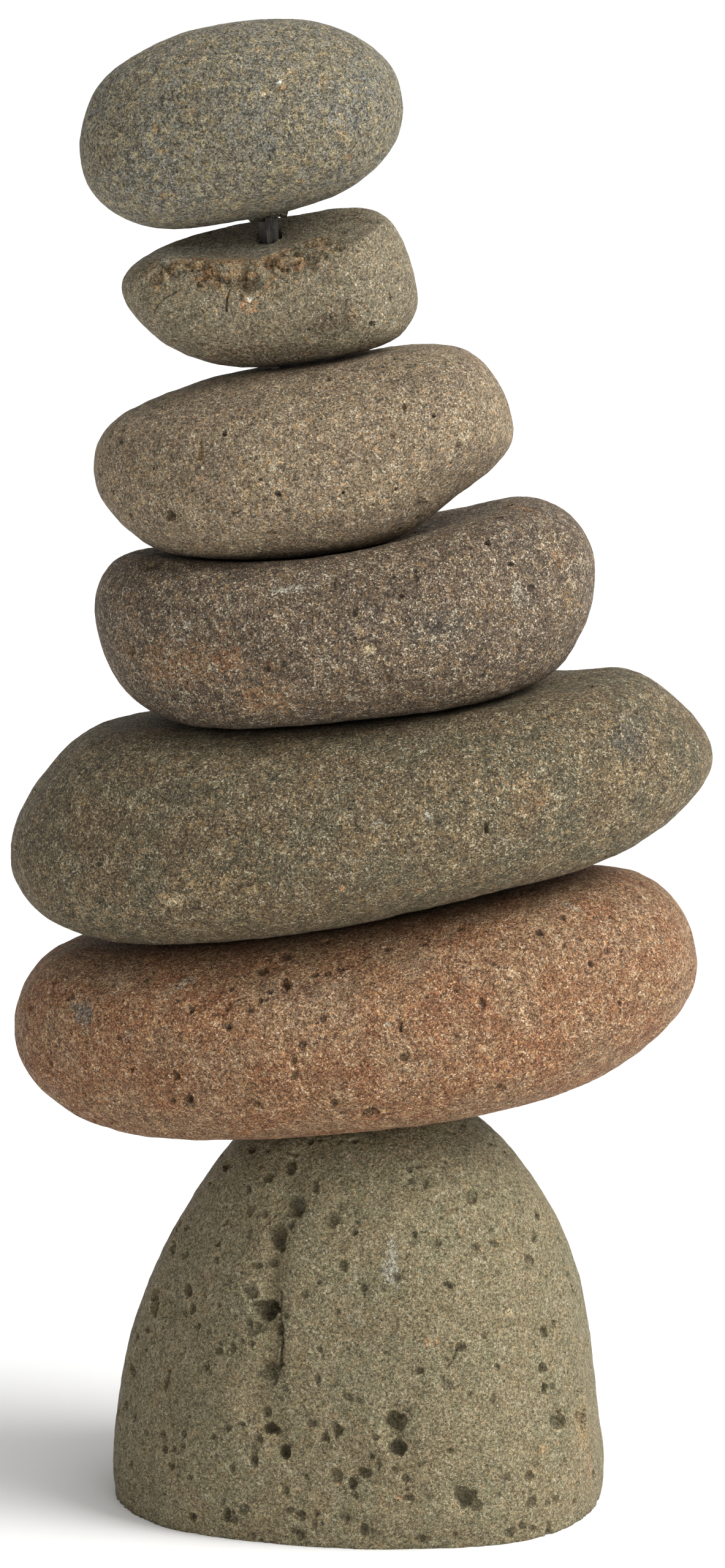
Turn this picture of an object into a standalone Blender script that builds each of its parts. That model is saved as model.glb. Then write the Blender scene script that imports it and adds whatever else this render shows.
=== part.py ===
"""Stone cairn: six river stones threaded on a leaning square steel bar above a sawn boulder.

The scene is in metres, +Z up, and the stack faces -Y. The origin is the middle of the sawn foot.
Every length in the tables below is in millimetres and every angle in degrees.

A stone starts as a cube of even quads rounded to a sphere. The sphere takes the stone's outline
and depth, then its worn flats and swells, and is pressed against its neighbours' seats. Gas pits
and the base's crease are sunk into it. One long drill cuts the bar's hole through the stack.
"""

from dataclasses import dataclass
from math import atan2, cos, exp, hypot, log, pi, radians, sin, tan

import bmesh
import bpy
from mathutils import Matrix, Vector, noise

MM = 0.001

# The steel bar leans to the left and runs from inside the base stone up into the top stone.
BAR_SIDE = 6.0
BAR_EDGE = 0.35
BAR_LEAN = 5.0
BAR_TWIST = 35.5
BAR_MEETS_GROUND = 10.5  # X where the bar's axis would come out of the foot
BAR_LOW = 70.0
BAR_HIGH = 577.0
BORE_RADIUS = 5.2
BORE_SIDES = 16
CLEARANCE = 0.3

# How every stone is worked.
SEAT_SOFTNESS = 1.6
LUMP_SIZE = 46.0
CURVE_STEPS = 16
PIT_MESH_SHARE = 0.6  # longest mesh edge in a pit, as a share of the pit's radius
CREASE_MESH = 4.0  # longest mesh edge along the crease
REFINE_ROUNDS = 2
PROBE_CUTS = 11  # how finely a stone is probed for its furthest bulge
FOOT_SNAP = 1.5  # points this near the saw cut are drawn onto it


@dataclass(frozen=True)
class Seat:
    """The shallow dish where one stone lies on another, given where the bar's axis crosses it."""

    height: float
    slope: float  # degrees, rising to the right
    dish: float  # the dish's radius of curvature


@dataclass(frozen=True)
class Flat:
    """A worn flat: the stone's furthest bulge towards a direction, pressed back softly."""

    azimuth: float  # 0 is the right-hand end, 90 the back and 270 the front
    elevation: float
    bite: float  # how far the bulge is worn back
    softness: float
    hollow: float = 0.0  # the flat's curvature, positive where its rim stands proud
    slide: float = 0.0  # how far right of the bulge the hollow's middle lies


@dataclass(frozen=True)
class Swell:
    """A broad rise on a face, or a hollow where height is negative."""

    x: float
    z: float
    side: int  # -1 is the front and +1 the back
    radius: float
    height: float


@dataclass(frozen=True)
class Pit:
    """An open gas bubble on a face, taller than it is wide where stretch is over 1."""

    x: float
    z: float
    side: int
    radius: float
    depth: float
    stretch: float = 1.0


@dataclass(frozen=True)
class Crease:
    """A ledge down the front: left of a wandering line the stone lies deeper than right of it."""

    line: tuple  # (x, z) from the bottom up
    drop: float
    width: float  # how far the ledge takes to fall
    reach: float  # how far the low side takes to come level again


@dataclass(frozen=True)
class Stone:
    """One stone. Its outline runs anticlockwise from the right-hand end, with the stone level."""

    name: str
    centre: tuple
    lean: float  # degrees, right-hand end up
    turn: float  # degrees about the vertical
    outline: tuple
    front: float
    back: float
    fullness: float  # 2 is an ellipse from the rim to the middle of a face, and more is fuller
    cuts: int
    lump: float
    colour: tuple
    roughness: float
    flats: tuple = ()
    swells: tuple = ()
    pits: tuple = ()
    crease: Crease | None = None


# From the ground up: red on base, green on red, purple on green, tan on purple, block on tan.
SEATS = (
    Seat(163.0, 5.5, 1500.0),
    Seat(244.5, 9.0, 1000.0),
    Seat(327.0, 4.5, 700.0),
    Seat(392.5, 5.0, 220.0),
    Seat(469.8, 6.5, 300.0),
)

BASE = Stone(
    name="base_stone",
    centre=(0.0, 0.0, 30.0),
    lean=0.0,
    turn=-9.0,
    outline=(
        (102, 0),
        (98, 40),
        (91, 77),
        (73, 110),
        (42, 134),
        (0, 143),
        (-40, 132),
        (-66, 100),
        (-83, 70),
        (-96, 37),
        (-102, 0),
        (-102, -28),
        (-84, -56),
        (0, -80),
        (82, -56),
        (103, -30),
    ),
    front=87.0,
    back=84.0,
    fullness=2.35,
    cuts=11,
    lump=1.4,
    colour=(0.222, 0.186, 0.115),
    roughness=0.9,
    flats=(
        Flat(266.0, 6.0, 3.0, 5.0),
        Flat(222.0, 14.0, 4.0, 6.0),
        Flat(322.0, 18.0, 1.5, 6.0),
        Flat(84.0, 10.0, 4.0, 6.0),
        Flat(140.0, 22.0, 5.0, 7.0),
        Flat(30.0, 26.0, 3.0, 6.0),
    ),
    swells=(
        Swell(-62.0, 60.0, -1, 26.0, -2.0),
        Swell(50.0, 20.0, -1, 30.0, 1.5),
        Swell(-30.0, 40.0, 1, 35.0, -2.5),
        Swell(48.0, 60.0, 1, 30.0, 2.0),
    ),
    pits=(
        Pit(-25.0, 66.0, -1, 6.5, 5.0),
        Pit(-15.0, 106.0, -1, 4.5, 3.0, 1.3),
        Pit(-22.0, 95.0, -1, 4.5, 3.0, 1.5),
        Pit(-21.0, 19.0, -1, 4.5, 3.5),
        Pit(-16.0, 10.0, -1, 3.6, 3.0),
        Pit(28.0, 25.0, -1, 5.5, 4.0),
        Pit(29.0, 14.0, -1, 4.5, 3.5),
        Pit(14.0, 2.0, -1, 5.0, 3.0),
        Pit(56.0, -9.0, -1, 5.5, 4.0),
        Pit(90.0, 17.0, -1, 5.0, 3.5),
        Pit(-75.0, 58.0, -1, 5.5, 3.0, 1.5),
        Pit(-40.0, 30.0, 1, 5.5, 4.0),
        Pit(20.0, 72.0, 1, 5.0, 3.5),
        Pit(62.0, 10.0, 1, 4.5, 3.0),
    ),
    crease=Crease(
        line=((-25, 28), (-20, 40), (-19, 70), (-20, 80), (-16, 110), (-13, 118)),
        drop=3.0,
        width=8.0,
        reach=16.0,
    ),
)
RED = Stone(
    name="red_stone",
    centre=(0.0, 0.0, 204.0),
    lean=6.0,
    turn=0.0,
    outline=(
        (142, 2),
        (136, 34),
        (108, 52),
        (45, 52),
        (-20, 50),
        (-85, 50),
        (-130, 35),
        (-142, 2),
        (-125, -26),
        (-90, -42),
        (-31, -48),
        (31, -48),
        (87, -39),
        (122, -21),
    ),
    front=92.0,
    back=88.0,
    fullness=2.2,
    cuts=9,
    lump=1.2,
    colour=(0.261, 0.160, 0.096),
    roughness=0.9,
    flats=(
        Flat(258.0, 60.0, 2.5, 5.0),
        Flat(290.0, 15.0, 3.0, 6.0),
        Flat(236.0, -20.0, 3.0, 6.0),
        Flat(80.0, 20.0, 4.0, 6.0),
        Flat(115.0, -40.0, 3.0, 6.0),
        Flat(62.0, 62.0, 2.5, 5.0),
    ),
    swells=(
        Swell(-30.0, 26.0, -1, 30.0, -1.5),
        Swell(60.0, -6.0, -1, 34.0, 1.5),
        Swell(-70.0, 0.0, 1, 30.0, -2.5),
    ),
    pits=(
        Pit(4.0, -24.0, -1, 3.8, 2.5),
        Pit(-69.0, -12.0, -1, 3.5, 2.2),
        Pit(56.0, -24.0, -1, 3.0, 2.0),
        Pit(-24.0, 30.0, -1, 2.8, 1.8),
        Pit(-30.0, 8.0, 1, 4.0, 2.5),
    ),
)
GREEN = Stone(
    name="green_stone",
    centre=(2.0, 0.0, 288.0),
    lean=8.0,
    turn=0.0,
    outline=(
        (147, 3),
        (133, 30),
        (106, 48),
        (45, 50),
        (-20, 50),
        (-87, 56),
        (-126, 36),
        (-147, 0),
        (-129, -30),
        (-80, -43),
        (-20, -45),
        (38, -39),
        (92, -33),
        (130, -17),
    ),
    front=92.0,
    back=90.0,
    fullness=2.2,
    cuts=9,
    lump=1.2,
    colour=(0.172, 0.138, 0.088),
    roughness=0.85,
    flats=(
        Flat(264.0, 55.0, 2.5, 6.0),
        Flat(300.0, -25.0, 3.0, 6.0),
        Flat(240.0, 10.0, 2.5, 7.0),
        Flat(96.0, 5.0, 4.0, 7.0),
        Flat(60.0, 40.0, 3.0, 6.0),
        Flat(130.0, -45.0, 3.0, 6.0),
    ),
    swells=(
        Swell(20.0, 10.0, -1, 40.0, 1.5),
        Swell(96.0, 18.0, -1, 24.0, -1.5),
        Swell(40.0, 12.0, 1, 34.0, -2.0),
    ),
)
PURPLE = Stone(
    name="purple_stone",
    centre=(-5.0, 0.0, 363.0),
    lean=4.0,
    turn=0.0,
    outline=(
        (102, 4),
        (103, 29),
        (82, 50),
        (28, 50),
        (-25, 48),
        (-74, 46),
        (-99, 28),
        (-100, 0),
        (-88, -22),
        (-58, -39),
        (0, -39),
        (50, -37),
        (83, -24),
        (95, -10),
    ),
    front=76.0,
    back=74.0,
    fullness=2.2,
    cuts=8,
    lump=1.0,
    colour=(0.186, 0.143, 0.101),
    roughness=0.9,
    flats=(
        Flat(252.0, 62.0, 2.5, 4.0),
        Flat(245.0, 0.0, 3.0, 5.0),
        Flat(305.0, 12.0, 4.0, 4.0),
        Flat(82.0, -15.0, 4.0, 6.0),
        Flat(120.0, 40.0, 3.0, 6.0),
    ),
    swells=(
        Swell(30.0, -8.0, -1, 24.0, -1.5),
        Swell(-40.0, 0.0, 1, 26.0, -2.0),
    ),
    pits=(
        Pit(60.0, 37.0, -1, 2.6, 1.6),
        Pit(-20.0, 6.0, 1, 3.2, 2.0),
    ),
)
TAN = Stone(
    name="tan_stone",
    centre=(-21.0, 0.0, 434.0),
    lean=6.0,
    turn=0.0,
    outline=(
        (86, 2),
        (81, 22),
        (67, 39),
        (28, 42),
        (-15, 40),
        (-49, 32),
        (-79, 21),
        (-87, -2),
        (-75, -22),
        (-53, -39),
        (-10, -43),
        (32, -40),
        (60, -23),
        (81, -10),
    ),
    front=64.0,
    back=62.0,
    fullness=2.2,
    cuts=8,
    lump=1.0,
    colour=(0.243, 0.189, 0.128),
    roughness=0.88,
    flats=(
        Flat(262.0, 58.0, 2.5, 4.0),
        Flat(280.0, 4.0, 3.0, 5.0),
        Flat(228.0, 10.0, 2.5, 5.0),
        Flat(318.0, -35.0, 2.5, 4.0),
        Flat(88.0, 12.0, 3.5, 5.0),
        Flat(130.0, -30.0, 2.5, 5.0),
    ),
    swells=(
        Swell(44.0, -20.0, -1, 6.0, -1.4),
        Swell(-10.0, 12.0, -1, 18.0, 1.0),
    ),
    pits=(
        Pit(-54.0, -15.0, -1, 3.4, 2.2),
        Pit(30.0, 2.0, 1, 3.2, 2.0),
    ),
)
BLOCK = Stone(
    name="block_stone",
    centre=(-35.0, 0.0, 500.0),
    lean=2.0,
    turn=0.0,
    outline=(
        (60, 0),
        (56, 16),
        (49, 28),
        (35, 36),
        (15, 34),
        (-10, 31),
        (-39, 21),
        (-57, 12),
        (-61, 1),
        (-49, -15),
        (-26, -28),
        (0, -33),
        (26, -30),
        (47, -24),
        (59, -12),
    ),
    front=42.0,
    back=42.0,
    fullness=2.3,
    cuts=9,
    lump=0.8,
    colour=(0.193, 0.159, 0.108),
    roughness=0.88,
    flats=(
        Flat(270.0, 73.0, 16.0, 1.4, 0.0065, -42.0),
        Flat(266.0, 2.0, 7.0, 2.5),
        Flat(325.0, 8.0, 4.0, 3.0),
        Flat(268.0, -48.0, 3.0, 4.0),
        Flat(92.0, 15.0, 5.0, 3.0),
        Flat(150.0, -20.0, 3.0, 4.0),
    ),
    swells=(
        Swell(0.0, 22.0, -1, 12.0, -1.5),
    ),
)
TOP = Stone(
    name="top_stone",
    centre=(-46.0, 0.0, 567.0),
    lean=8.0,
    turn=0.0,
    outline=(
        (66, 0),
        (60, 21),
        (38, 36),
        (8, 41),
        (-25, 39),
        (-55, 25),
        (-67, 0),
        (-62, -23),
        (-38, -38),
        (0, -38),
        (35, -33),
        (58, -19),
    ),
    front=47.0,
    back=47.0,
    fullness=2.1,
    cuts=7,
    lump=0.7,
    colour=(0.218, 0.194, 0.145),
    roughness=0.85,
    flats=(
        Flat(255.0, 10.0, 1.5, 5.0),
        Flat(300.0, 40.0, 1.5, 5.0),
        Flat(90.0, -10.0, 2.5, 5.0),
        Flat(140.0, 35.0, 2.0, 5.0),
    ),
    swells=(
        Swell(-20.0, -10.0, 1, 18.0, 1.2),
    ),
)
STONES = (BASE, RED, GREEN, PURPLE, TAN, BLOCK, TOP)


def bar_point(height):
    """Where the bar's axis is at this height, in millimetres."""
    return Vector((BAR_MEETS_GROUND - height * tan(radians(BAR_LEAN)), 0.0, height))


def facing(azimuth, elevation):
    """The unit vector of an azimuth and an elevation."""
    around, up = radians(azimuth), radians(elevation)
    return Vector((cos(around) * cos(up), sin(around) * cos(up), sin(up)))


def seat_normal(seat):
    """The upward unit normal of a seat where the bar crosses it."""
    slope = radians(seat.slope)
    return Vector((-sin(slope), 0.0, cos(slope)))


def standing(stone):
    """The stone's frame: its place, its lean to the side and its turn, in millimetres."""
    turn = Matrix.Rotation(radians(stone.turn), 4, "Z")
    lean = Matrix.Rotation(radians(-stone.lean), 4, "Y")
    return Matrix.Translation(stone.centre) @ turn @ lean


def press(point, origin, normal, softness, hollow=0.0):
    """The point kept on the inner side of a plane, with a soft edge where it starts to touch.

    The plane may be dished: hollow is its curvature, positive where its rim rises along the normal.
    """
    offset = point - origin
    height = offset.dot(normal)
    dish = (offset.length_squared - height**2) * hollow / 2
    squeeze = (height - dish) / softness
    if squeeze < -8:
        return point
    rise = squeeze if squeeze > 30 else log(1 + exp(squeeze))
    return point - normal * rise * softness


def smooth_step(value):
    """0 below 0, 1 above 1 and an S between them."""
    share = min(max(value, 0.0), 1.0)
    return share * share * (3 - 2 * share)


class Outline:
    """A smooth closed curve through a stone's outline, read by angle on the unit circle."""

    def __init__(self, points):
        self.wide = max(abs(x) for x, z in points)
        self.high = max(abs(z) for x, z in points)
        flat = [Vector((x / self.wide, z / self.high)) for x, z in points]
        polar = []
        for index, b in enumerate(flat):
            a = flat[index - 1]
            c = flat[(index + 1) % len(flat)]
            d = flat[(index + 2) % len(flat)]
            for step in range(CURVE_STEPS):
                t = step / CURVE_STEPS
                bend = (a * 2 - b * 5 + c * 4 - d) * t**2 + (b * 3 - a - c * 3 + d) * t**3
                point = b + ((c - a) * t + bend) / 2
                polar.append((atan2(point.y, point.x), point.length))
        polar.sort()
        before = (polar[-1][0] - 2 * pi, polar[-1][1])
        after = (polar[0][0] + 2 * pi, polar[0][1])
        self.polar = [before, *polar, after]

    def radius(self, angle):
        """The curve's distance from the centre at an angle, in the scaled plane."""
        low, high = 0, len(self.polar) - 1
        while high - low > 1:
            middle = (low + high) // 2
            if self.polar[middle][0] <= angle:
                low = middle
            else:
                high = middle
        start, end = self.polar[low], self.polar[high]
        share = (angle - start[0]) / max(end[0] - start[0], 1e-9)
        return start[1] + (end[1] - start[1]) * share


class Form:
    """Where each direction of the unit sphere lies on one stone, in the stone's own frame."""

    def __init__(self, stone):
        self.stone = stone
        self.outline = Outline(stone.outline)
        self.seed = Vector((len(stone.name) * 7.0, stone.front, stone.back))
        self.seats = self.find_seats()
        self.flats = [self.find_flat(flat) for flat in stone.flats]
        self.swells = [(self.egg(self.towards(swell)), swell) for swell in stone.swells]
        self.pits = [(self.skin(self.towards(pit)), pit) for pit in stone.pits]

    def find_seats(self):
        """The seats the stone is pressed against: a point, an outward normal and a curvature."""
        to_stone = standing(self.stone).inverted()
        place = STONES.index(self.stone)
        under = [(seat, -1) for seat in SEATS[place - 1:place] if place > 0]
        over = [(seat, 1) for seat in SEATS[place:place + 1]]
        found = []
        for seat, side in under + over:
            outward = seat_normal(seat) * side
            origin = bar_point(seat.height) - outward * CLEARANCE / 2
            found.append((to_stone @ origin, to_stone.to_3x3() @ outward, side / seat.dish))
        return found

    def find_flat(self, flat):
        """A flat as a point, an outward normal, a softness and a curvature."""
        normal = facing(flat.azimuth, flat.elevation)
        probe = unit_sphere(PROBE_CUTS)
        bulge = max((self.egg(vert.co) for vert in probe.verts), key=normal.dot)
        probe.free()
        rightward = Vector((1.0, 0.0, 0.0)) - normal * normal.x
        middle = bulge - normal * flat.bite + rightward * flat.slide
        return middle, normal, flat.softness, flat.hollow

    def towards(self, mark):
        """The unit direction that a mark's x, z and side lie in."""
        x = mark.x / self.outline.wide
        z = mark.z / self.outline.high
        angle = atan2(z, x)
        rim = min(hypot(x, z) / self.outline.radius(angle), 1.0) ** (self.stone.fullness / 2)
        return Vector((rim * cos(angle), mark.side * (1 - rim**2) ** 0.5, rim * sin(angle)))

    def egg(self, direction):
        """The stone's outline and depth alone."""
        power = 2 / self.stone.fullness
        angle = atan2(direction.z, direction.x)
        rim = min(hypot(direction.x, direction.z), 1.0)
        radius = rim**power * self.outline.radius(angle)
        depth = self.stone.back if direction.y > 0 else -self.stone.front
        return Vector((
            radius * cos(angle) * self.outline.wide,
            abs(direction.y) ** power * depth,
            radius * sin(angle) * self.outline.high,
        ))

    def outward(self, point):
        """The way out of the stone at a point of its surface, as on an ellipsoid of its size."""
        depth = self.stone.back if point.y > 0 else self.stone.front
        return Vector((
            point.x / self.outline.wide**2,
            point.y / depth**2,
            point.z / self.outline.high**2,
        )).normalized()

    def skin(self, direction):
        """The surface with its lumps, swells, flats and seats, and no pits."""
        point = self.egg(direction)
        outward = self.outward(point)
        waves = noise.fractal(point / LUMP_SIZE + self.seed, 0.9, 2.0, 3)
        point += outward * waves * self.stone.lump
        for middle, swell in self.swells:
            share = (point - middle).length / swell.radius
            point += outward * swell.height * exp(-(share**2))
        for flat in self.flats:
            point = press(point, *flat)
        for origin, normal, hollow in self.seats:
            point = press(point, origin, normal, SEAT_SOFTNESS, hollow)
        return point

    def pit_share(self, point, middle, pit):
        """How far a point is from a pit's middle, as a share of the pit's radius."""
        offset = point - middle
        return hypot(offset.x, offset.y, offset.z / pit.stretch) / pit.radius

    def crease_offset(self, point):
        """How far right of the crease a point is, and how far past the crease's ends."""
        line = self.stone.crease.line
        height = min(max(point.z, line[0][1]), line[-1][1])
        for (x_low, z_low), (x_high, z_high) in zip(line, line[1:]):
            if height <= z_high:
                break
        x = x_low + (x_high - x_low) * (height - z_low) / (z_high - z_low)
        return point.x - x, abs(point.z - height)

    def crease_sink(self, point):
        """How deep the crease sinks the surface at a point of the front."""
        crease = self.stone.crease
        if crease is None or point.y > 0:
            return 0.0
        right, past_end = self.crease_offset(point)
        fall = smooth_step(0.5 - right / crease.width)
        level = 1 - smooth_step(-right / crease.reach)
        return crease.drop * fall * level * (1 - smooth_step(past_end / crease.reach))

    def surface(self, direction):
        """The finished surface: the skin with the crease and the pits sunk into it."""
        point = self.skin(direction)
        sink = self.crease_sink(point)
        for middle, pit in self.pits:
            share = self.pit_share(point, middle, pit)
            if share < 1:
                sink = max(sink, pit.depth * (1 - share**2) ** 0.5)
        return point - self.outward(point) * sink

    def wants_split(self, start, end):
        """Whether a mesh edge is too long for the pit or crease it lies in."""
        start, end = self.skin(start), self.skin(end)
        middle, length = (start + end) / 2, (start - end).length
        for place, pit in self.pits:
            near = self.pit_share(middle, place, pit) < 1 + length / pit.radius / 2
            if near and length > pit.radius * PIT_MESH_SHARE:
                return True
        crease = self.stone.crease
        if crease is None or middle.y > 0 or length < CREASE_MESH:
            return False
        right, past_end = self.crease_offset(middle)
        return abs(right) < crease.width + length / 2 and past_end < length


def unit_sphere(cuts):
    """A sphere of even quads: a subdivided cube with its points drawn in to radius 1."""
    mesh = bmesh.new()
    bmesh.ops.create_cube(mesh, size=2.0)
    bmesh.ops.subdivide_edges(mesh, edges=mesh.edges[:], cuts=cuts, use_grid_fill=True)
    for vert in mesh.verts:
        vert.co = Vector([tan(value * pi / 4) for value in vert.co]).normalized()
    return mesh


def refine(mesh, form):
    """Split the long edges in pits and along the crease, so that the mesh can show them."""
    for _ in range(REFINE_ROUNDS):
        edges = [edge for edge in mesh.edges if form.wants_split(*(v.co for v in edge.verts))]
        bmesh.ops.subdivide_edges(mesh, edges=edges, cuts=1)
        bmesh.ops.triangulate(mesh, faces=[face for face in mesh.faces if len(face.verts) > 4])
        for vert in mesh.verts:
            vert.co.normalize()


def saw_foot(mesh, height):
    """Cut the mesh off flat at a height and close the cut."""
    for vert in mesh.verts:
        if abs(vert.co.z - height) < FOOT_SNAP:
            vert.co.z = height
    everything = mesh.verts[:] + mesh.edges[:] + mesh.faces[:]
    bmesh.ops.bisect_plane(
        mesh, geom=everything, plane_co=(0, 0, height), plane_no=(0, 0, 1), clear_inner=True
    )
    bmesh.ops.edgeloop_fill(mesh, edges=[edge for edge in mesh.edges if edge.is_boundary])


def make_material(name, colour, roughness, metallic):
    """A Principled material."""
    material = bpy.data.materials.new(name)
    material.use_nodes = True
    shader = material.node_tree.nodes["Principled BSDF"]
    shader.inputs["Base Color"].default_value = (*colour, 1.0)
    shader.inputs["Roughness"].default_value = roughness
    shader.inputs["Metallic"].default_value = metallic
    material.diffuse_color = (*colour, 1.0)
    return material


def add_object(name, mesh, collection):
    """Turn a bmesh in millimetres into an object in metres and free the bmesh."""
    bmesh.ops.scale(mesh, vec=(MM, MM, MM), verts=mesh.verts)
    bmesh.ops.recalc_face_normals(mesh, faces=mesh.faces)
    data = bpy.data.meshes.new(name)
    mesh.to_mesh(data)
    mesh.free()
    made = bpy.data.objects.new(name, data)
    collection.objects.link(made)
    return made


def make_stone(stone, drill, collection):
    """One stone with its share of the drilled hole."""
    form = Form(stone)
    mesh = unit_sphere(stone.cuts)
    refine(mesh, form)
    for vert in mesh.verts:
        vert.co = form.surface(vert.co)
    if stone is BASE:
        saw_foot(mesh, -stone.centre[2])
    made = add_object(stone.name, mesh, collection)
    made.location = Vector(stone.centre) * MM
    made.rotation_euler = (0.0, radians(-stone.lean), radians(stone.turn))
    made.data.materials.append(make_material(stone.name, stone.colour, stone.roughness, 0.0))
    made.data.shade_smooth()
    hole = made.modifiers.new("bar_hole", "BOOLEAN")
    hole.operation = "DIFFERENCE"
    hole.solver = "EXACT"
    hole.object = drill
    return made


def put_on_axis(made, low, high):
    """Place an object whose length runs along its own Z on the bar's axis, between two heights."""
    made.location = (bar_point(low) + bar_point(high)) / 2 * MM
    made.rotation_mode = "ZYX"
    made.rotation_euler = (0.0, radians(-BAR_LEAN), radians(BAR_TWIST))


def along_axis(low, high):
    """How long a piece on the leaning axis is between two heights."""
    return (high - low) / cos(radians(BAR_LEAN))


def make_drill(collection):
    """The cutter for the hole that the bar runs in."""
    low, high = BAR_LOW - CLEARANCE, BAR_HIGH + CLEARANCE
    mesh = bmesh.new()
    bmesh.ops.create_cone(
        mesh,
        cap_ends=True,
        segments=BORE_SIDES,
        radius1=BORE_RADIUS,
        radius2=BORE_RADIUS,
        depth=along_axis(low, high),
    )
    drill = add_object("bar_drill", mesh, collection)
    put_on_axis(drill, low, high)
    drill.hide_render = True
    drill.display_type = "WIRE"
    return drill


def make_bar(collection):
    """The square steel bar with its four long edges just broken."""
    mesh = bmesh.new()
    bmesh.ops.create_cube(mesh, size=1.0)
    size = (BAR_SIDE, BAR_SIDE, along_axis(BAR_LOW, BAR_HIGH))
    bmesh.ops.scale(mesh, vec=size, verts=mesh.verts)
    long_edges = [edge for edge in mesh.edges if edge.calc_length() > BAR_SIDE * 2]
    bmesh.ops.bevel(
        mesh,
        geom=long_edges,
        offset=BAR_EDGE,
        offset_type="OFFSET",
        affect="EDGES",
        segments=1,
        profile=0.5,
        material=-1,
    )
    bar = add_object("steel_bar", mesh, collection)
    put_on_axis(bar, BAR_LOW, BAR_HIGH)
    bar.data.materials.append(make_material("steel_bar", (0.07, 0.06, 0.055), 0.45, 1.0))
    return bar


def add_collection(name):
    """A new collection in the scene."""
    collection = bpy.data.collections.new(name)
    bpy.context.scene.collection.children.link(collection)
    return collection


def main():
    """Clear the scene and build the cairn."""
    for old in list(bpy.data.objects):
        bpy.data.objects.remove(old, do_unlink=True)
    cairn = add_collection("stone_cairn")
    drill = make_drill(add_collection("cutters"))
    for stone in STONES:
        make_stone(stone, drill, cairn)
    make_bar(cairn)


main()
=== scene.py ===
# A stone cairn: river stones on a leaning steel bar above a domed boulder.
#
# Every stone starts from its imported solid, gets a fine even mesh, and is then worn, pitted and
# stained, with painted shade in its hollows and cracks and painted highlights on their rims. Lengths
# are in metres, and MM turns millimetres into them. Marks on the front are placed by sight lines
# from the camera, in steps of a picture that is 1183 wide and 2560 high.

import logging
import math
from dataclasses import dataclass, field
from enum import Enum
from itertools import product

import bmesh
import bpy
import numpy as np
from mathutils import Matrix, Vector
from mathutils.bvhtree import BVHTree
from mathutils.geometry import intersect_point_line
from mathutils.kdtree import KDTree


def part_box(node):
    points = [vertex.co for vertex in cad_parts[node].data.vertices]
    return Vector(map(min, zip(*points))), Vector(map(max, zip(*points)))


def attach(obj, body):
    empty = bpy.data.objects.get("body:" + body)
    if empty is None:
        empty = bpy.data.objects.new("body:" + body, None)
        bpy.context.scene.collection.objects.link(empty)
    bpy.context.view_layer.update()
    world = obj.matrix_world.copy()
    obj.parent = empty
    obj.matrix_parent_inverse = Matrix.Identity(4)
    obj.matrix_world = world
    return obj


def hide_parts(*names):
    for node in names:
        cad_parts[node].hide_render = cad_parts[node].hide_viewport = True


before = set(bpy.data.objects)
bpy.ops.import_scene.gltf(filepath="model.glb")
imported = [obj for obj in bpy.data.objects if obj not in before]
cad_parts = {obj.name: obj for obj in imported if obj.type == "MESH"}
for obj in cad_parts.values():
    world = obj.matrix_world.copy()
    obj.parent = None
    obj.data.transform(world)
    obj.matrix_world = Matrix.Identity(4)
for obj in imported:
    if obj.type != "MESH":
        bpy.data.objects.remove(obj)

MM = 0.001
BODY = "root"

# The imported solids' facets, and how they are rounded off.
MERGE_REACH = 1e-6
SHARP_ANGLE = math.radians(50.0)
JOIN_FLATNESS = 0.6
JOIN_SQUARENESS = 0.8
SMOOTHING_LEVELS = 2
FOOT_FLATNESS = math.radians(1.0)

# Where the fine mesh is split again, in picture steps and metres.
CRACK_STEP = 8.0
CRACK_REACH = 9.0
LARGEST_SPLIT = 60.0
FINE_SPLIT = 1.6 * MM
EDGE_STEP = 0.5 * MM
EDGE_PULL = 0.5  # how far beside a sharp edge vertices are drawn onto it, in mesh cells
TOO_CLOSE = 0.06 * MM

# The shape of hollows and pits.
MARK_SPREAD = 1.6  # how far out a mark looks, in half widths
BUBBLY_EDGE = 0.5  # from this edge on, a hollow is made of merged bubbles
HOLLOW_DEPTH = 0.9
HOLLOW_WARP = 0.26
HOLLOW_RIM_HIGHLIGHT = (1.12, 0.22, 0.6)  # the painted highlight on the rim: its middle, half width and strength
HOLLOW_GRIT = 1.6 * MM
MERGED_BUBBLES = 5
MAIN_BUBBLE = (0.1, 0.92)  # how far out it lies, and its radius, as shares of the hollow
SIDE_BUBBLE_OUT = (0.45, 0.70)
SIDE_BUBBLE_RADIUS = (0.34, 0.55)
SIDE_BUBBLE_DEPTH = (0.45, 0.85)
PIT_WARP = 0.22
PIT_GRIT = 1.3 * MM
# the painted highlight on a pit's rim: its middle, half width and strength
PIT_RIM_HIGHLIGHT = (1.15, 0.3, 0.5)
PIT_SHADE = 0.9
CLOUD_OF_PITS = 22.0 * MM
GROOVE_WARP = 0.45
GROOVE_GRIT = 4.0 * MM

# A stain fades out over STAIN_FADE half widths, up to STAIN_REACH, on a ragged line.
STAIN_REACH = 1.25
STAIN_FADE = 0.8
STAIN_WARP = 0.55

# How the grains' colours spread from dark to light, as parts of the body colour.
SHARE_TOP = 6.0
GRAIN_SHARES = (
    (0.00, 0.15), (0.20, 0.34), (0.36, 0.65), (0.50, 0.97), (0.64, 1.42), (0.80, 2.1), (1.00, 3.4),
)

# The numbers that scatter the lattice noise.
LATTICE_WAYS = (73856093, 19349663, 83492791)
LATTICE_SEED = 2654435
LATTICE_STIR = 1274126177
LATTICE_TOP = 0xFFFF

log = logging.getLogger("cairn")

Colour = tuple[float, float, float]


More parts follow.
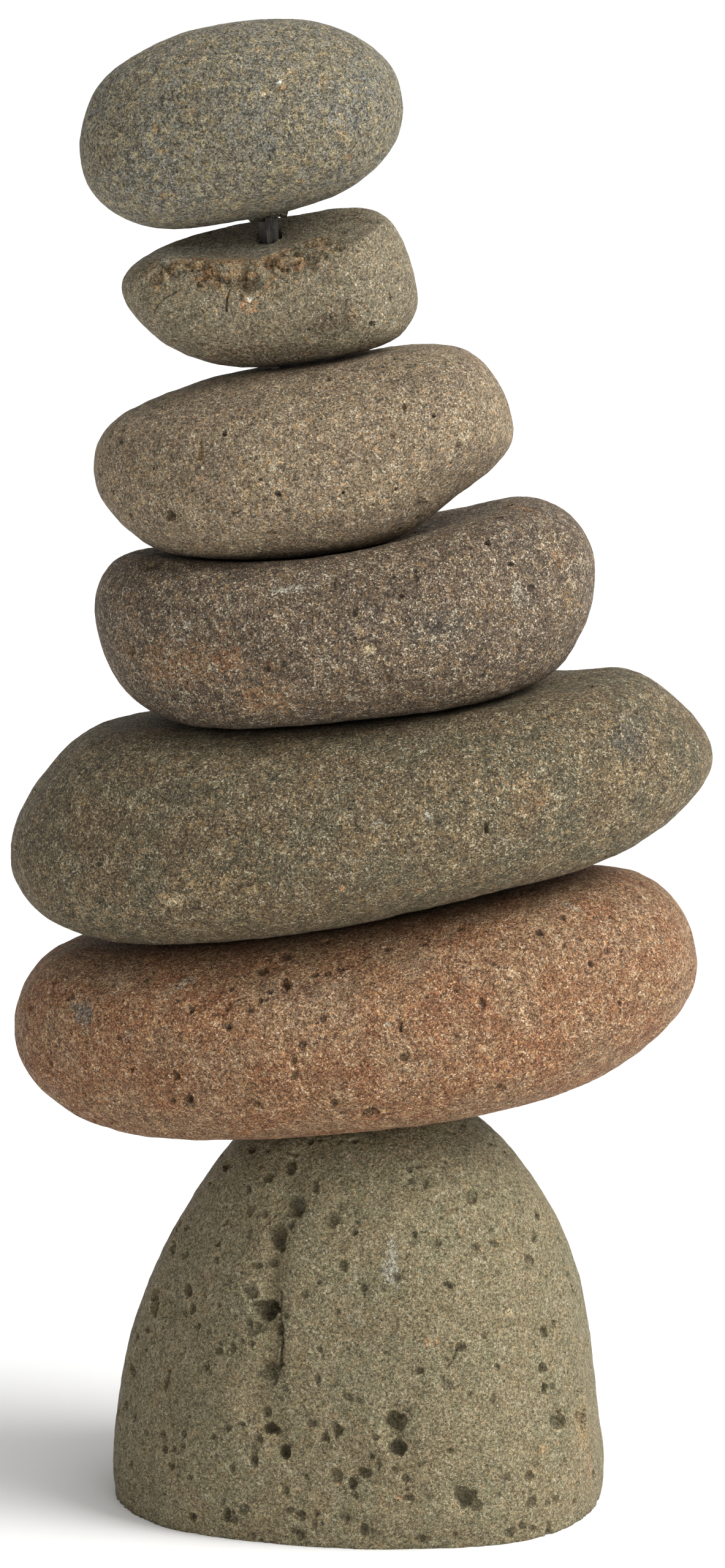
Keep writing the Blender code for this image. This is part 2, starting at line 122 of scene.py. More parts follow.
class Tinge(Enum):
    """Colours of stains, inclusions and painted light and shade, in linear red, green and blue."""

    RUST = (0.190, 0.100, 0.042)
    BRICK = (0.16, 0.060, 0.026)
    OCHRE = (0.265, 0.175, 0.080)
    ORANGE = (0.330, 0.180, 0.078)
    CREAM = (0.38, 0.300, 0.170)
    CHALK_AND_PAINTED_LIGHT = (0.280, 0.265, 0.205)
    WHITE = (0.70, 0.690, 0.620)
    BLUE_GREY = (0.105, 0.100, 0.082)
    SLATE = (0.062, 0.054, 0.040)
    BROWN = (0.070, 0.042, 0.022)
    BEIGE = (0.22, 0.155, 0.095)
    SOOT = (0.010, 0.009, 0.008)


@dataclass(frozen=True)
class ViewRig:
    """The camera's place and lens, and the sight lines through its picture."""

    width: int = 1183
    height: int = 2560
    place: tuple[float, float, float] = (0.0023, -1.90, 0.60)
    pitch: float = math.radians(9.0033)
    lens: float = 107.639
    sensor: float = 36.0

    @property
    def steps(self) -> float:
        """Picture steps per unit of slope."""
        return self.lens / self.sensor * self.height

    @property
    def right(self) -> Vector:
        """The picture's way to the right."""
        return Vector((1.0, 0.0, 0.0))

    @property
    def up(self) -> Vector:
        """The picture's way up."""
        return Vector((0.0, math.sin(self.pitch), math.cos(self.pitch)))

    @property
    def ahead(self) -> Vector:
        """The way that the camera looks."""
        return Vector((0.0, math.cos(self.pitch), -math.sin(self.pitch)))

    def sight(self, across: float, down: float) -> Vector:
        """The way of the sight line through one point of the picture.

        Args:
            across: steps from the picture's left edge.
            down: steps from its top edge.

        Returns:
            A unit vector from the camera.
        """
        slope_right = (across - self.width / 2) / self.steps
        slope_up = (self.height / 2 - down) / self.steps
        return (self.ahead + slope_right * self.right + slope_up * self.up).normalized()

    def picture(self, points: np.ndarray) -> tuple[np.ndarray, np.ndarray]:
        """Where points stand in the picture.

        Args:
            points: places, one row each.

        Returns:
            Their steps across and down.
        """
        offset = points - np.array(self.place)
        depth = offset @ np.array(self.ahead)
        across = self.width / 2 + self.steps * (offset @ np.array(self.right)) / depth
        down = self.height / 2 - self.steps * (offset @ np.array(self.up)) / depth
        return across, down

    def step_at(self, point: Vector) -> float:
        """How many metres one picture step is at a point."""
        return (point - Vector(self.place)).dot(self.ahead) / self.steps

    def build(self) -> bpy.types.Object:
        """Makes the scene's camera.

        Returns:
            The camera's object, set as the scene's camera.
        """
        data = bpy.data.cameras.new("studio_camera")
        data.lens = self.lens
        data.sensor_width = self.sensor
        data.sensor_fit = "AUTO"
        data.clip_start = 0.05
        data.clip_end = 500.0
        camera = bpy.data.objects.new("studio_camera", data)
        camera.location = self.place
        camera.rotation_euler = (math.pi / 2 - self.pitch, 0.0, 0.0)
        bpy.context.scene.collection.objects.link(camera)
        bpy.context.scene.camera = camera
        return camera


RIG = ViewRig()


def lattice_noise(points: np.ndarray, cell: float, seed: int) -> np.ndarray:
    """Smooth noise whose features are about one cell wide.

    Args:
        points: places, one row each.
        cell: feature size in metres.
        seed: number of the pattern.

    Returns:
        One value from -1 to 1 for each point.
    """
    place = points / cell + seed * 7.31
    corner = np.floor(place).astype(np.int64)
    share = place - corner
    share = share * share * (3.0 - 2.0 * share)
    total = np.zeros(len(points))
    for step in product((0, 1), repeat=3):
        mixed = (corner + step) @ np.array(LATTICE_WAYS) + seed * LATTICE_SEED
        mixed = (mixed ^ (mixed >> 13)) * LATTICE_STIR
        mixed = (mixed ^ (mixed >> 16)) & LATTICE_TOP
        weight = np.prod(np.where(step, share, 1.0 - share), axis=1)
        total += weight * mixed / LATTICE_TOP
    return total * 2.0 - 1.0


def layered_noise(points: np.ndarray, cell: float, seed: int, layers: int = 3) -> np.ndarray:
    """Lattice noise in several sizes, each half as wide and half as strong as the last.

    Args:
        points: places, one row each.
        cell: the widest feature size in metres.
        seed: number of the pattern.
        layers: how many sizes there are.

    Returns:
        One value for each point, mostly from -1 to 1.
    """
    total = np.zeros(len(points))
    for layer in range(layers):
        total += lattice_noise(points, cell / 2**layer, seed + 11 * layer) / 2**layer
    return total


def chipped(points: np.ndarray, cell: float, slope: float, seed: int) -> np.ndarray:
    """Heights of a broken face made of small tilted planes.

    Args:
        points: places, one row each.
        cell: about how wide a plane is, in metres.
        slope: how steeply a plane may tilt.
        seed: number of the pattern.

    Returns:
        One height in metres for each point.
    """
    rng = np.random.default_rng(seed)
    low, high = points.min(axis=0) - cell, points.max(axis=0) + cell
    count = max(4, int(np.prod((high - low) / cell)))
    seats = rng.uniform(low, high, (count, 3))
    tilts = rng.normal(0.0, slope, (count, 3))
    tree = KDTree(count)
    for number, seat in enumerate(seats):
        tree.insert(seat, number)
    tree.balance()
    heights = np.zeros(len(points))
    for row, point in enumerate(points):
        near = tree.find_n(point, 2)
        sums = [float(tilts[number] @ (point - seats[number])) for _, number, _ in near]
        gap = near[1][2] - near[0][2]
        blend = min(0.5, gap / (0.25 * cell) * 0.5)
        heights[row] = sums[0] * (0.5 + blend) + sums[1] * (0.5 - blend)
    return heights


def rim_highlight_of(away: np.ndarray, wall: np.ndarray, rim: tuple[float, float, float]) -> np.ndarray:
    """How much vertices lie on the rim of a hollow, which gets a painted highlight.

    Args:
        away: how far out they lie, 1 on the hollow's outline.
        wall: how deep they lie in it, from 0 to 1.
        rim: the rim's middle, half width and strength.

    Returns:
        One share for each vertex.
    """
    middle, half_width, strength = rim
    return strength * np.clip(1.0 - np.abs(away - middle) / half_width, 0.0, 1.0) * (wall < 0.05)


def drop_midpoints(bm: bmesh.types.BMesh) -> None:
    """Dissolves the vertices that only two edges meet at, which make faces of no width."""
    middles = [vertex for vertex in bm.verts if len(vertex.link_edges) == 2]
    bmesh.ops.dissolve_verts(bm, verts=middles)


@dataclass(frozen=True)
class Hollow:
    """An open gas pit, hole or dent, placed by the sight line that meets it.

    across, down, width and height are picture steps; depth is in millimetres, and 0 takes it from
    the size. turn is in degrees. edge from 0 to 1 says how steep the wall is.
    """

    across: float
    down: float
    width: float
    height: float
    depth: float = 0.0
    turn: float = 0.0
    edge: float = 0.6
    # shade: how strongly the hollow gets painted shade, and its rim a painted highlight
    shade: float = 1.0


@dataclass(frozen=True)
class Stain:
    """A stain, inclusion, or patch of painted light or shade, placed and sized as a Hollow is."""

    across: float
    down: float
    width: float
    height: float
    tinge: Tinge
    strength: float = 0.8
    turn: float = 0.0


@dataclass(frozen=True)
class Groove:
    """A crack that follows sight points. width and depth are in millimetres."""

    path: tuple[tuple[float, float], ...]
    width: float
    depth: float
    # shade: how strongly the crack gets painted shade
    shade: float = 1.0


@dataclass(frozen=True)
class Bubble:
    """One scattered gas pit, longer along its way by stretch. Lengths are in metres."""

    seat: Vector
    radius: float
    depth: float
    stretch: float
    way: tuple[float, float, float]


@dataclass(frozen=True)
class Pores:
    """Gas pits scattered over a stone. Sizes are radii in millimetres, and depth is their share."""

    count: int
    small: float
    large: float
    depth: float = 0.9
    skew: float = 2.5
    seed: int = 1
    gather: float = 0.0

    def scatter(self, points: np.ndarray) -> list[Bubble]:
        """Chooses the pits' seats and sizes.

        Args:
            points: evenly spread places on the stone, one row each.

        Returns:
            The pits, gathered in clouds where gather is over 0.
        """
        rng = np.random.default_rng(self.seed)
        crowd = layered_noise(points, CLOUD_OF_PITS, self.seed + 5, 2)
        odds = np.exp(self.gather * crowd)
        picks = rng.choice(len(points), self.count, replace=False, p=odds / odds.sum())
        radii = (self.small + (self.large - self.small) * rng.random(self.count) ** self.skew) * MM
        stretches = rng.uniform(0.7, 1.5, self.count)
        ways = rng.normal(size=(self.count, 3))
        ways /= np.linalg.norm(ways, axis=1)[:, None]
        return [
            Bubble(Vector(points[pick]), radius, self.depth * radius, stretch, tuple(way))
            for pick, radius, stretch, way in zip(picks, radii, stretches, ways)
        ]


class Skin:
    """The fine mesh of one stone while it is worn, pitted and stained."""

    def __init__(self, mesh: bpy.types.Mesh) -> None:
        """Reads a mesh.

        Args:
            mesh: the fine mesh, in place.
        """
        self.mesh = mesh
        count = len(mesh.vertices)
        self.points = np.zeros(count * 3)
        mesh.vertices.foreach_get("co", self.points)
        self.points = self.points.reshape(-1, 3)
        self.rest = self.points.copy()
        self.normals = np.zeros(count * 3)
        mesh.vertices.foreach_get("normal", self.normals)
        self.normals = self.normals.reshape(-1, 3)
        # hollow: how deep each vertex lies in a hollow, pit or crack, for the material's painted shade;
        # below 0, how much it lies on a rim, for a painted highlight
        self.hollow = np.zeros(count)
        self.tint = np.zeros((count, 4))
        self.tree = KDTree(count)
        for number, point in enumerate(self.rest):
            self.tree.insert(point, number)
        self.tree.balance()
        self.cast = BVHTree.FromPolygons(
            [Vector(point) for point in self.rest], [face.vertices[:] for face in mesh.polygons]
        )

    def near(self, point: Vector, reach: float) -> np.ndarray:
        """The numbers of the vertices within reach of a point."""
        found = self.tree.find_range(point, reach)
        return np.array([number for _, number, _ in found], int)

    def meet(self, across: float, down: float) -> Vector | None:
        """Where a sight line meets the stone, or None where it misses it."""
        spot, _, _, _ = self.cast.ray_cast(Vector(RIG.place), RIG.sight(across, down))
        return spot

    def footprint(self, mark: Hollow | Stain, spread: float) -> tuple[np.ndarray, np.ndarray]:
        """Which vertices a mark reaches, and where each lies in it.

        Args:
            mark: the hollow or stain.
            spread: how far out it looks, in half widths.

        Returns:
            The vertex numbers, and for each its place along, across and into the mark, as shares
            that are 1 long on the mark's outline.
        """
        spot = self.meet(mark.across, mark.down)
        if spot is None:
            return np.zeros(0, int), np.zeros((0, 3))
        step = RIG.step_at(spot)
        half_width = 0.5 * mark.width * step
        half_height = 0.5 * mark.height * step
        largest = max(half_width, half_height)
        chosen = self.near(spot, spread * largest * 1.6)
        if len(chosen) == 0:
            return chosen, np.zeros((0, 3))
        offset = self.rest[chosen] - np.array(spot)
        turn = math.radians(mark.turn)
        right = offset @ np.array(RIG.right)
        up = offset @ np.array(RIG.up)
        along = right * math.cos(turn) + up * math.sin(turn)
        aside = up * math.cos(turn) - right * math.sin(turn)
        ahead = offset @ np.array(RIG.ahead)
        places = np.stack([along / half_width, aside / half_height, ahead / (1.5 * largest)], axis=1)
        kept = np.linalg.norm(places, axis=1) < spread
        return chosen[kept], places[kept]

    def sink(self, chosen: np.ndarray, depths: np.ndarray) -> None:
        """Moves vertices inwards by depths, along their mean normal."""
        if len(chosen) == 0:
            return
        inward = -self.normals[chosen].mean(axis=0)
        inward /= max(np.linalg.norm(inward), 1e-9)
        self.points[chosen] += inward * depths[:, None]

    def dig(self, mark: Hollow, seed: int) -> None:
        """Sinks one hollow: a bowl, and for a steep one a few merged bubbles in it.

        Args:
            mark: the hollow.
            seed: number of its ragged pattern.
        """
        chosen, places = self.footprint(mark, MARK_SPREAD)
        if len(chosen) == 0:
            return
        rest = self.rest[chosen]
        size = min(mark.width, mark.height) * RIG.step_at(Vector(rest[0]))
        cell = max(0.4 * size, 1.4 * MM)
        for column in (0, 1):
            places[:, column] += HOLLOW_WARP * layered_noise(rest, cell, seed + 71 * column, 3)
        away = np.linalg.norm(places, axis=1)
        wall = np.clip(1.0 - np.clip(away, 0.0, 1.0) ** (1.5 + 3.0 * mark.edge), 0.0, 1.0)
        if mark.edge >= BUBBLY_EDGE:
            wall = self.bubbles_in(places, seed)
        depth = HOLLOW_DEPTH * (mark.depth * MM if mark.depth else 0.5 * size)
        rough = layered_noise(rest, HOLLOW_GRIT, seed + 5, 2) * min(0.30 * depth, 0.6 * MM)
        self.sink(chosen, depth * wall + rough * np.clip(wall * 3.0, 0.0, 1.0))
        # painted shade in the hollow, and a painted highlight on its rim
        self.shade(chosen, mark.shade * wall**1.4, mark.shade * rim_highlight_of(away, wall, HOLLOW_RIM_HIGHLIGHT))

    def bubbles_in(self, places: np.ndarray, seed: int) -> np.ndarray:
        """Depths of a few merged bubbles inside a hollow's outline.

        Args:
            places: the vertices' places in the hollow, as footprint gives them.
            seed: number of the pattern.

        Returns:
            One depth from 0 to 1 for each vertex.
        """
        rng = np.random.default_rng(seed)
        deepest = np.zeros(len(places))
        for number in range(MERGED_BUBBLES):
            turn = rng.uniform(0.0, math.tau)
            out = rng.uniform(*SIDE_BUBBLE_OUT) if number else MAIN_BUBBLE[0]
            radius = rng.uniform(*SIDE_BUBBLE_RADIUS) if number else MAIN_BUBBLE[1]
            middle = np.array([out * math.cos(turn), out * math.sin(turn), 0.0])
            gap = np.linalg.norm(places - middle, axis=1) / radius
            share = rng.uniform(*SIDE_BUBBLE_DEPTH) if number else 1.0
            bubble = np.sqrt(np.clip(1.0 - gap**2, 0.0, 1.0)) * share
            deepest = np.maximum(deepest, bubble)
        return deepest

    def shade(self, chosen: np.ndarray, depths: np.ndarray, rims: np.ndarray) -> None:
        """Notes painted shade for vertices deep in a hollow, and a painted highlight for its rim.

        Args:
            chosen: the vertices' numbers.
            depths: 0 outside the hollow, and 1 at its deepest.
            rims: 0 off the rim, and 1 on the middle of it.
        """
        old = self.hollow[chosen]
        deeper = np.maximum(old, depths)
        self.hollow[chosen] = np.where((deeper <= 0.0) & (rims > 0.0), np.minimum(old, -rims), deeper)

    def stain(self, mark: Stain, seed: int) -> None:
        """Paints one stain, or one patch of painted light or shade, into the tint attribute.

        Args:
            mark: the stain.
            seed: number of its ragged pattern.
        """
        chosen, places = self.footprint(mark, MARK_SPREAD)
        if len(chosen) == 0:
            return
        away = np.linalg.norm(places, axis=1)
        step = RIG.step_at(Vector(self.rest[chosen[0]]))
        size = min(mark.width, mark.height) * step
        ragged = layered_noise(self.rest[chosen], max(0.5 * size, 2.0 * MM), seed, 2)
        inside = STAIN_REACH - away * (1.0 + STAIN_WARP * ragged)
        share = np.clip(inside / STAIN_FADE, 0.0, 1.0) * mark.strength
        old = self.tint[chosen]
        self.tint[chosen, 3] = np.maximum(old[:, 3], share)
        mix = (share / np.maximum(self.tint[chosen, 3], 1e-6))[:, None]
        self.tint[chosen, :3] = old[:, :3] * (1.0 - mix) + np.array(mark.tinge.value) * mix

    def cut(self, groove: Groove, seed: int) -> None:
        """Sinks a crack along its path.

        Args:
            groove: the crack.
            seed: number of its ragged pattern.
        """
        spots = [self.meet(*point) for point in groove.path]
        spots = [np.array(spot) for spot in spots if spot is not None]
        best = np.full(len(self.rest), np.inf)
        for start, end in zip(spots, spots[1:]):
            way = end - start
            share = np.clip((self.rest - start) @ way / max(way @ way, 1e-12), 0.0, 1.0)
            gap = np.linalg.norm(self.rest - start - share[:, None] * way, axis=1)
            best = np.minimum(best, gap)
        reach = 0.5 * groove.width * MM
        chosen = np.nonzero(best < 2.5 * reach)[0]
        if len(chosen) == 0:
            return
        ragged = layered_noise(self.rest[chosen], GROOVE_GRIT, seed, 2)
        away = best[chosen] / (reach * (1.0 + GROOVE_WARP * ragged))
        wall = np.clip(1.0 - away**1.6, 0.0, 1.0)
        self.sink_each(chosen, groove.depth * MM * wall * (1.0 + 0.3 * ragged))
        # painted shade in the crack
        self.hollow[chosen] = np.maximum(self.hollow[chosen], groove.shade * wall)

    def sink_each(self, chosen: np.ndarray, depths: np.ndarray) -> None:
        """Moves vertices inwards by depths, each along its own normal."""
        self.points[chosen] -= self.normals[chosen] * depths[:, None]

    def open_bubble(self, bubble: Bubble) -> None:
        """Sinks one scattered gas pit, a little ragged.

        Args:
            bubble: the pit.
        """
        chosen = self.near(bubble.seat, bubble.radius * 2.2)
        rest = self.rest[chosen]
        offset = rest - np.array(bubble.seat)
        along = offset @ np.array(bubble.way)
        aside = np.linalg.norm(offset - along[:, None] * np.array(bubble.way), axis=1)
        away = np.sqrt((along / bubble.stretch) ** 2 + (aside * bubble.stretch**0.5) ** 2)
        away = away / bubble.radius * (1.0 + PIT_WARP * lattice_noise(rest, PIT_GRIT, 3))
        wall = np.sqrt(np.clip(1.0 - away**2, 0.0, 1.0))
        self.sink(chosen, bubble.depth * wall)
        # painted shade in the pit, and a painted highlight on its rim
        self.shade(chosen, PIT_SHADE * wall, rim_highlight_of(away, wall, PIT_RIM_HIGHLIGHT))

    def write(self, low: Vector, high: Vector) -> None:
        """Puts the points and attributes back into the mesh.

        Args:
            low: the lowest corner that the stone may reach.
            high: its highest corner.
        """
        kept = np.clip(self.points, np.array(low), np.array(high))
        self.mesh.vertices.foreach_set("co", kept.ravel())
        # the hollow attribute carries the painted shade and the painted rim highlights to the material
        layer = self.mesh.attributes.new("hollow", "FLOAT", "POINT")
        layer.data.foreach_set("value", np.clip(self.hollow, -1.0, 1.0))
        layer = self.mesh.attributes.new("tint", "FLOAT_COLOR", "POINT")
        layer.data.foreach_set("color", self.tint.ravel())
        self.mesh.update()


class Wiring:
    """Builds one material's nodes."""

    def __init__(self, name: str) -> None:
        """Starts an empty material.

        Args:
            name: the material's name.
        """
        self.material = bpy.data.materials.new(name)
        self.material.use_nodes = True
        self.tree = self.material.node_tree
        self.shader = next(n for n in self.tree.nodes if n.type == "BSDF_PRINCIPLED")
        self.coordinates = self.tree.nodes.new("ShaderNodeTexCoord").outputs["Object"]

    def put(self, socket: bpy.types.NodeSocket, value: object) -> None:
        """Links an output to a socket, or sets the socket to a plain value."""
        if isinstance(value, bpy.types.NodeSocket):
            self.tree.links.new(value, socket)
        else:
            socket.default_value = value

    def math(self, kind: str, *values: object, clamp: bool = False) -> bpy.types.NodeSocket:
        """A Math node.

        Args:
            kind: the operation.
            values: its inputs, as numbers or sockets.
            clamp: whether the result is kept from 0 to 1.

        Returns:
            The result's socket.
        """
        node = self.tree.nodes.new("ShaderNodeMath")
        node.operation = kind
        node.use_clamp = clamp
        for socket, value in zip(node.inputs, values):
            self.put(socket, value)
        return node.outputs[0]

    def turned(self, turn: tuple[float, float, float], stretch: tuple[float, float, float]) -> object:
        """The object's coordinates, turned and stretched."""
        node = self.tree.nodes.new("ShaderNodeMapping")
        self.put(node.inputs["Vector"], self.coordinates)
        node.inputs["Rotation"].default_value = turn
        node.inputs["Scale"].default_value = stretch
        return node.outputs[0]

    def noise(self, place: object, size: float, detail: float = 2.0, colour: bool = False) -> object:
        """A noise pattern with features of a size in millimetres."""
        node = self.tree.nodes.new("ShaderNodeTexNoise")
        self.put(node.inputs["Vector"], place)
        node.inputs["Scale"].default_value = 1.0 / (size * MM)
        node.inputs["Detail"].default_value = detail
        return node.outputs["Color" if colour else "Fac"]

    def shaken(self, place: object, size: float, reach: float) -> object:
        """Coordinates pushed about by noise, so that the grains lose their straight sides.

        Args:
            place: the coordinates.
            size: the noise's feature size in millimetres.
            reach: how far they are pushed, in millimetres.

        Returns:
            The new coordinates' socket.
        """
        shift = self.tree.nodes.new("ShaderNodeVectorMath")
        shift.operation = "MULTIPLY_ADD"
        self.put(shift.inputs[0], self.noise(place, size, 1.0, colour=True))
        shift.inputs[1].default_value = (reach * MM,) * 3
        self.put(shift.inputs[2], place)
        return shift.outputs[0]

    def grains(
        self, place: object, size: float, metric: str = "EUCLIDEAN"
    ) -> tuple[object, object, object]:
        """Crystal grains of a size in millimetres.

        Args:
            place: the coordinates.
            size: the grains' size in millimetres.
            metric: how the distance from a grain's middle is measured.

        Returns:
            Two random values for each grain, and the distance from its middle.
        """
        node = self.tree.nodes.new("ShaderNodeTexVoronoi")
        self.put(node.inputs["Vector"], place)
        node.inputs["Scale"].default_value = 1.0 / (size * MM)
        node.distance = metric
        split = self.tree.nodes.new("ShaderNodeSeparateColor")
        self.put(split.inputs[0], node.outputs["Color"])
        return split.outputs[0], split.outputs[1], node.outputs["Distance"]

    def spots(self, place: object, size: float, share: float, radii: tuple[float, float]) -> object:
        """Ragged spots, at most one to a cell.

        Args:
            place: the coordinates.
            size: the cells' size in millimetres.
            share: how many of the cells have a spot.
            radii: the smallest and largest spots' radii, as parts of a cell.

        Returns:
            A socket that is 1 inside a spot and 0 outside.
        """
        first, chosen, away = self.grains(place, size, "MANHATTAN")
        inside = self.math("GREATER_THAN", chosen, 1.0 - share)
        radius = self.math("MULTIPLY_ADD", first, radii[1] - radii[0], radii[0])
        depth = self.math("SUBTRACT", 1.0, self.math("DIVIDE", away, radius), clamp=True)
        return self.math("MULTIPLY", self.span(depth, 0.0, 0.35), inside)

    def ramp(self, value: object, stops: tuple[tuple[float, Colour], ...]) -> object:
        """A colour ramp through stops."""
        node = self.tree.nodes.new("ShaderNodeValToRGB")
        self.put(node.inputs[0], value)
        ends = node.color_ramp.elements
        while len(ends) < len(stops):
            ends.new(0.5)
        for end, (place, colour) in zip(ends, stops):
            end.position = place
            end.color = (*colour, 1.0)
        return node.outputs[0]

    def span(
        self, value: object, low: float, high: float, out_low: float = 0.0, out_high: float = 1.0
    ) -> object:
        """Maps a value from low..high smoothly to out_low..out_high, and keeps it there."""
        node = self.tree.nodes.new("ShaderNodeMapRange")
        node.interpolation_type = "SMOOTHSTEP"
        for socket, number in zip(node.inputs, (value, low, high, out_low, out_high)):
            self.put(socket, number)
        return node.outputs[0]

    def mix(self, share: object, first: object, second: object, kind: str = "MIX") -> object:
        """Mixes two colours."""
        node = self.tree.nodes.new("ShaderNodeMix")
        node.data_type = "RGBA"
        node.blend_type = kind
        node.clamp_result = False
        self.put(node.inputs["Factor"], share)
        for name, value in (("A", first), ("B", second)):
            socket = next(s for s in node.inputs if s.name == name and s.type == "RGBA")
            self.put(socket, (*value, 1.0) if isinstance(value, tuple) else value)
        return next(s for s in node.outputs if s.type == "RGBA")

    def attribute(self, name: str) -> bpy.types.ShaderNodeAttribute:
        """A node that reads one of the mesh's attributes."""
        node = self.tree.nodes.new("ShaderNodeAttribute")
        node.attribute_name = name
        return node

    def bump(self, height: object, distance: float) -> object:
        """Normals of a relief whose height of 1 is a distance in millimetres."""
        node = self.tree.nodes.new("ShaderNodeBump")
        node.inputs["Strength"].default_value = 1.0
        node.inputs["Distance"].default_value = distance * MM
        self.put(node.inputs["Height"], height)
        return node.outputs[0]


@dataclass(frozen=True)
class RockFinish:
    """How one kind of rock looks: its body colour, its grains and its pores.

    Colours are linear. Sizes are in millimetres. contrast scales the grains' light and dark, and
    weights are the shares of the fine, middle and coarse grains and of the mottle. crevice_shade is
    how dark the painted shade in the narrow cracks between the crags is, from 0 for black to 1 for
    none.
    """

    name: str
    body: Colour
    drift: Colour
    speck: Colour
    speck_share: float = 0.10
    patch: Colour | None = None
    patch_share: float = 0.45
    patch_size: float = 14.0
    cloud_size: float = 22.0
    mottle_size: float = 5.0
    # hollow_dirt_and_shade: how far the deepest hollows are darkened, with dirt and painted shade
    hollow_dirt_and_shade: float = 0.56
    grain: float = 0.40
    crystal: float = 0.85
    cluster: float = 2.0
    weights: tuple[float, float, float, float] = (0.54, 0.30, 0.08, 0.22)
    centre: float = 0.5
    contrast: float = 1.0
    powers: tuple[float, float, float] = (0.95, 1.00, 1.10)
    pore_size: float = 2.2
    pore_share: float = 0.42
    pore_depth: float = 0.5
    relief: float = 0.26
    rough: float = 0.82
    turn: tuple[float, float, float] = (0.5, 0.3, 0.2)
    stretch: tuple[float, float, float] = (1.0, 1.0, 1.0)
    shake: float = 0.3
    fleck: Colour = (0.60, 0.55, 0.41)
    warm_fleck: Colour = (0.50, 0.30, 0.13)
    fleck_size: float = 0.62
    fleck_share: float = 0.56
    fleck_rise: float = 0.2
    fleck_level: float = 0.66
    fleck_edge: float = 0.04
    tear: float = 0.7
    crag_size: float = 1.3
    crag_height: float = 1.1
    crevice_shade: float = 0.42
    cavity: float = 2.6
    cavity_share: float = 0.22
    pore_radii: tuple[float, float] = (0.10, 0.30)
    cavity_radii: tuple[float, float] = (0.08, 0.20)
    # pore_dark: how far the open pores are darkened, with dirt and painted shade
    pore_dark: float = 0.85
    sheen: float = 0.35
    rim_light: float = 1.5
    # dirt_and_shade: the colour of the dirt and the painted shade in hollows, cracks and pores
    dirt_and_shade: Colour = (0.022, 0.018, 0.013)

    def stops(self) -> tuple[tuple[float, Colour], ...]:
        """The grains' colours from dark to light, as parts of SHARE_TOP times the body colour."""
        return tuple(
            (place, tuple(share ** (power * self.contrast) / SHARE_TOP for power in self.powers))
            for place, share in GRAIN_SHARES
        )

    def build(self) -> bpy.types.Material:
        """Makes the material.

        Returns:
            The finished material.
        """
        w = Wiring(self.name)
        place = w.turned(self.turn, self.stretch)
        shaken = w.shaken(place, 0.9, self.shake)
        fine, _, _ = w.grains(shaken, self.grain)
        middle, hue, _ = w.grains(shaken, self.crystal)
        coarse, shade, _ = w.grains(w.shaken(place, 2.0, 1.4), self.cluster)
        mottle = w.noise(place, self.mottle_size, 3.0)
        clouds = w.noise(place, self.cloud_size, 3.0)
        tone = self.centre - 0.5 * sum(self.weights)
        for value, weight in zip((fine, middle, coarse, mottle), self.weights):
            tone = w.math("MULTIPLY_ADD", value, weight, tone)
        shares = w.ramp(tone, self.stops())
        body = w.mix(w.span(clouds, 0.36, 0.64), self.body, self.drift)
        if self.patch:
            rust = w.noise(place, self.patch_size, 4.0)
            start = 0.72 - 0.35 * self.patch_share
            body = w.mix(w.span(rust, start, start + 0.16, 0.0, 0.8), body, self.patch)
        body = w.mix(w.span(shade, 1.0 - 2.0 * self.speck_share, 1.0, 0.0, 0.55), body, self.speck)
        tint = w.attribute("tint")
        ragged = w.math("MULTIPLY_ADD", hue, -0.7, tint.outputs["Alpha"])
        body = w.mix(w.span(ragged, 0.0, 0.22, 0.0, 0.85), body, tint.outputs["Color"])
        colour = w.mix(1.0, body, shares, "MULTIPLY")
        colour = w.mix(1.0, colour, (SHARE_TOP,) * 3, "MULTIPLY")
        torn = w.shaken(place, 0.55, self.tear)
        crag = w.noise(torn, self.crag_size, 2.0)
        # painted shade: the colour is darkened in the narrow cracks between the crags
        crevice_shade_map = w.span(crag, 0.30, 0.50, self.crevice_shade, 1.0)
        colour = w.mix(1.0, colour, crevice_shade_map, "MULTIPLY")
        crowd = w.math("MULTIPLY_ADD", mottle, 0.30, -0.15)
        flecks = []
        for size, rise in ((self.fleck_size, 0.0), (2.1 * self.fleck_size, 0.03)):
            pattern = w.math("ADD", w.noise(torn, size, 2.0), crowd)
            level = self.fleck_level - 0.14 * self.fleck_share + rise
            flecks.append(w.span(pattern, level, level + self.fleck_edge))
        flecks = w.math("MAXIMUM", *flecks)
        strength = w.math("MULTIPLY", flecks, w.span(fine, 0.0, 1.0, 0.35, 1.0))
        tinge = w.mix(w.span(hue, 0.25, 0.75), self.warm_fleck, self.fleck)
        colour = w.mix(strength, colour, tinge)
        pores = w.spots(torn, self.pore_size, self.pore_share, self.pore_radii)
        cavities = w.spots(
            w.shaken(place, 1.2, 1.6),
            self.pore_size * self.cavity,
            self.cavity_share,
            self.cavity_radii,
        )
        hollow = w.attribute("hollow").outputs["Fac"]
        # painted highlight: the rims of the hollows and pits are lightened
        rim = w.span(hollow, 0.0, -0.5, 0.0, 0.45)
        colour = w.mix(rim, colour, w.mix(1.0, colour, (self.rim_light,) * 3, "MULTIPLY"))
        # dirt and painted shade: the deeper in a hollow, pit or crack, the darker the colour
        deep = w.span(hollow, 0.05, 1.0, 0.0, self.hollow_dirt_and_shade)
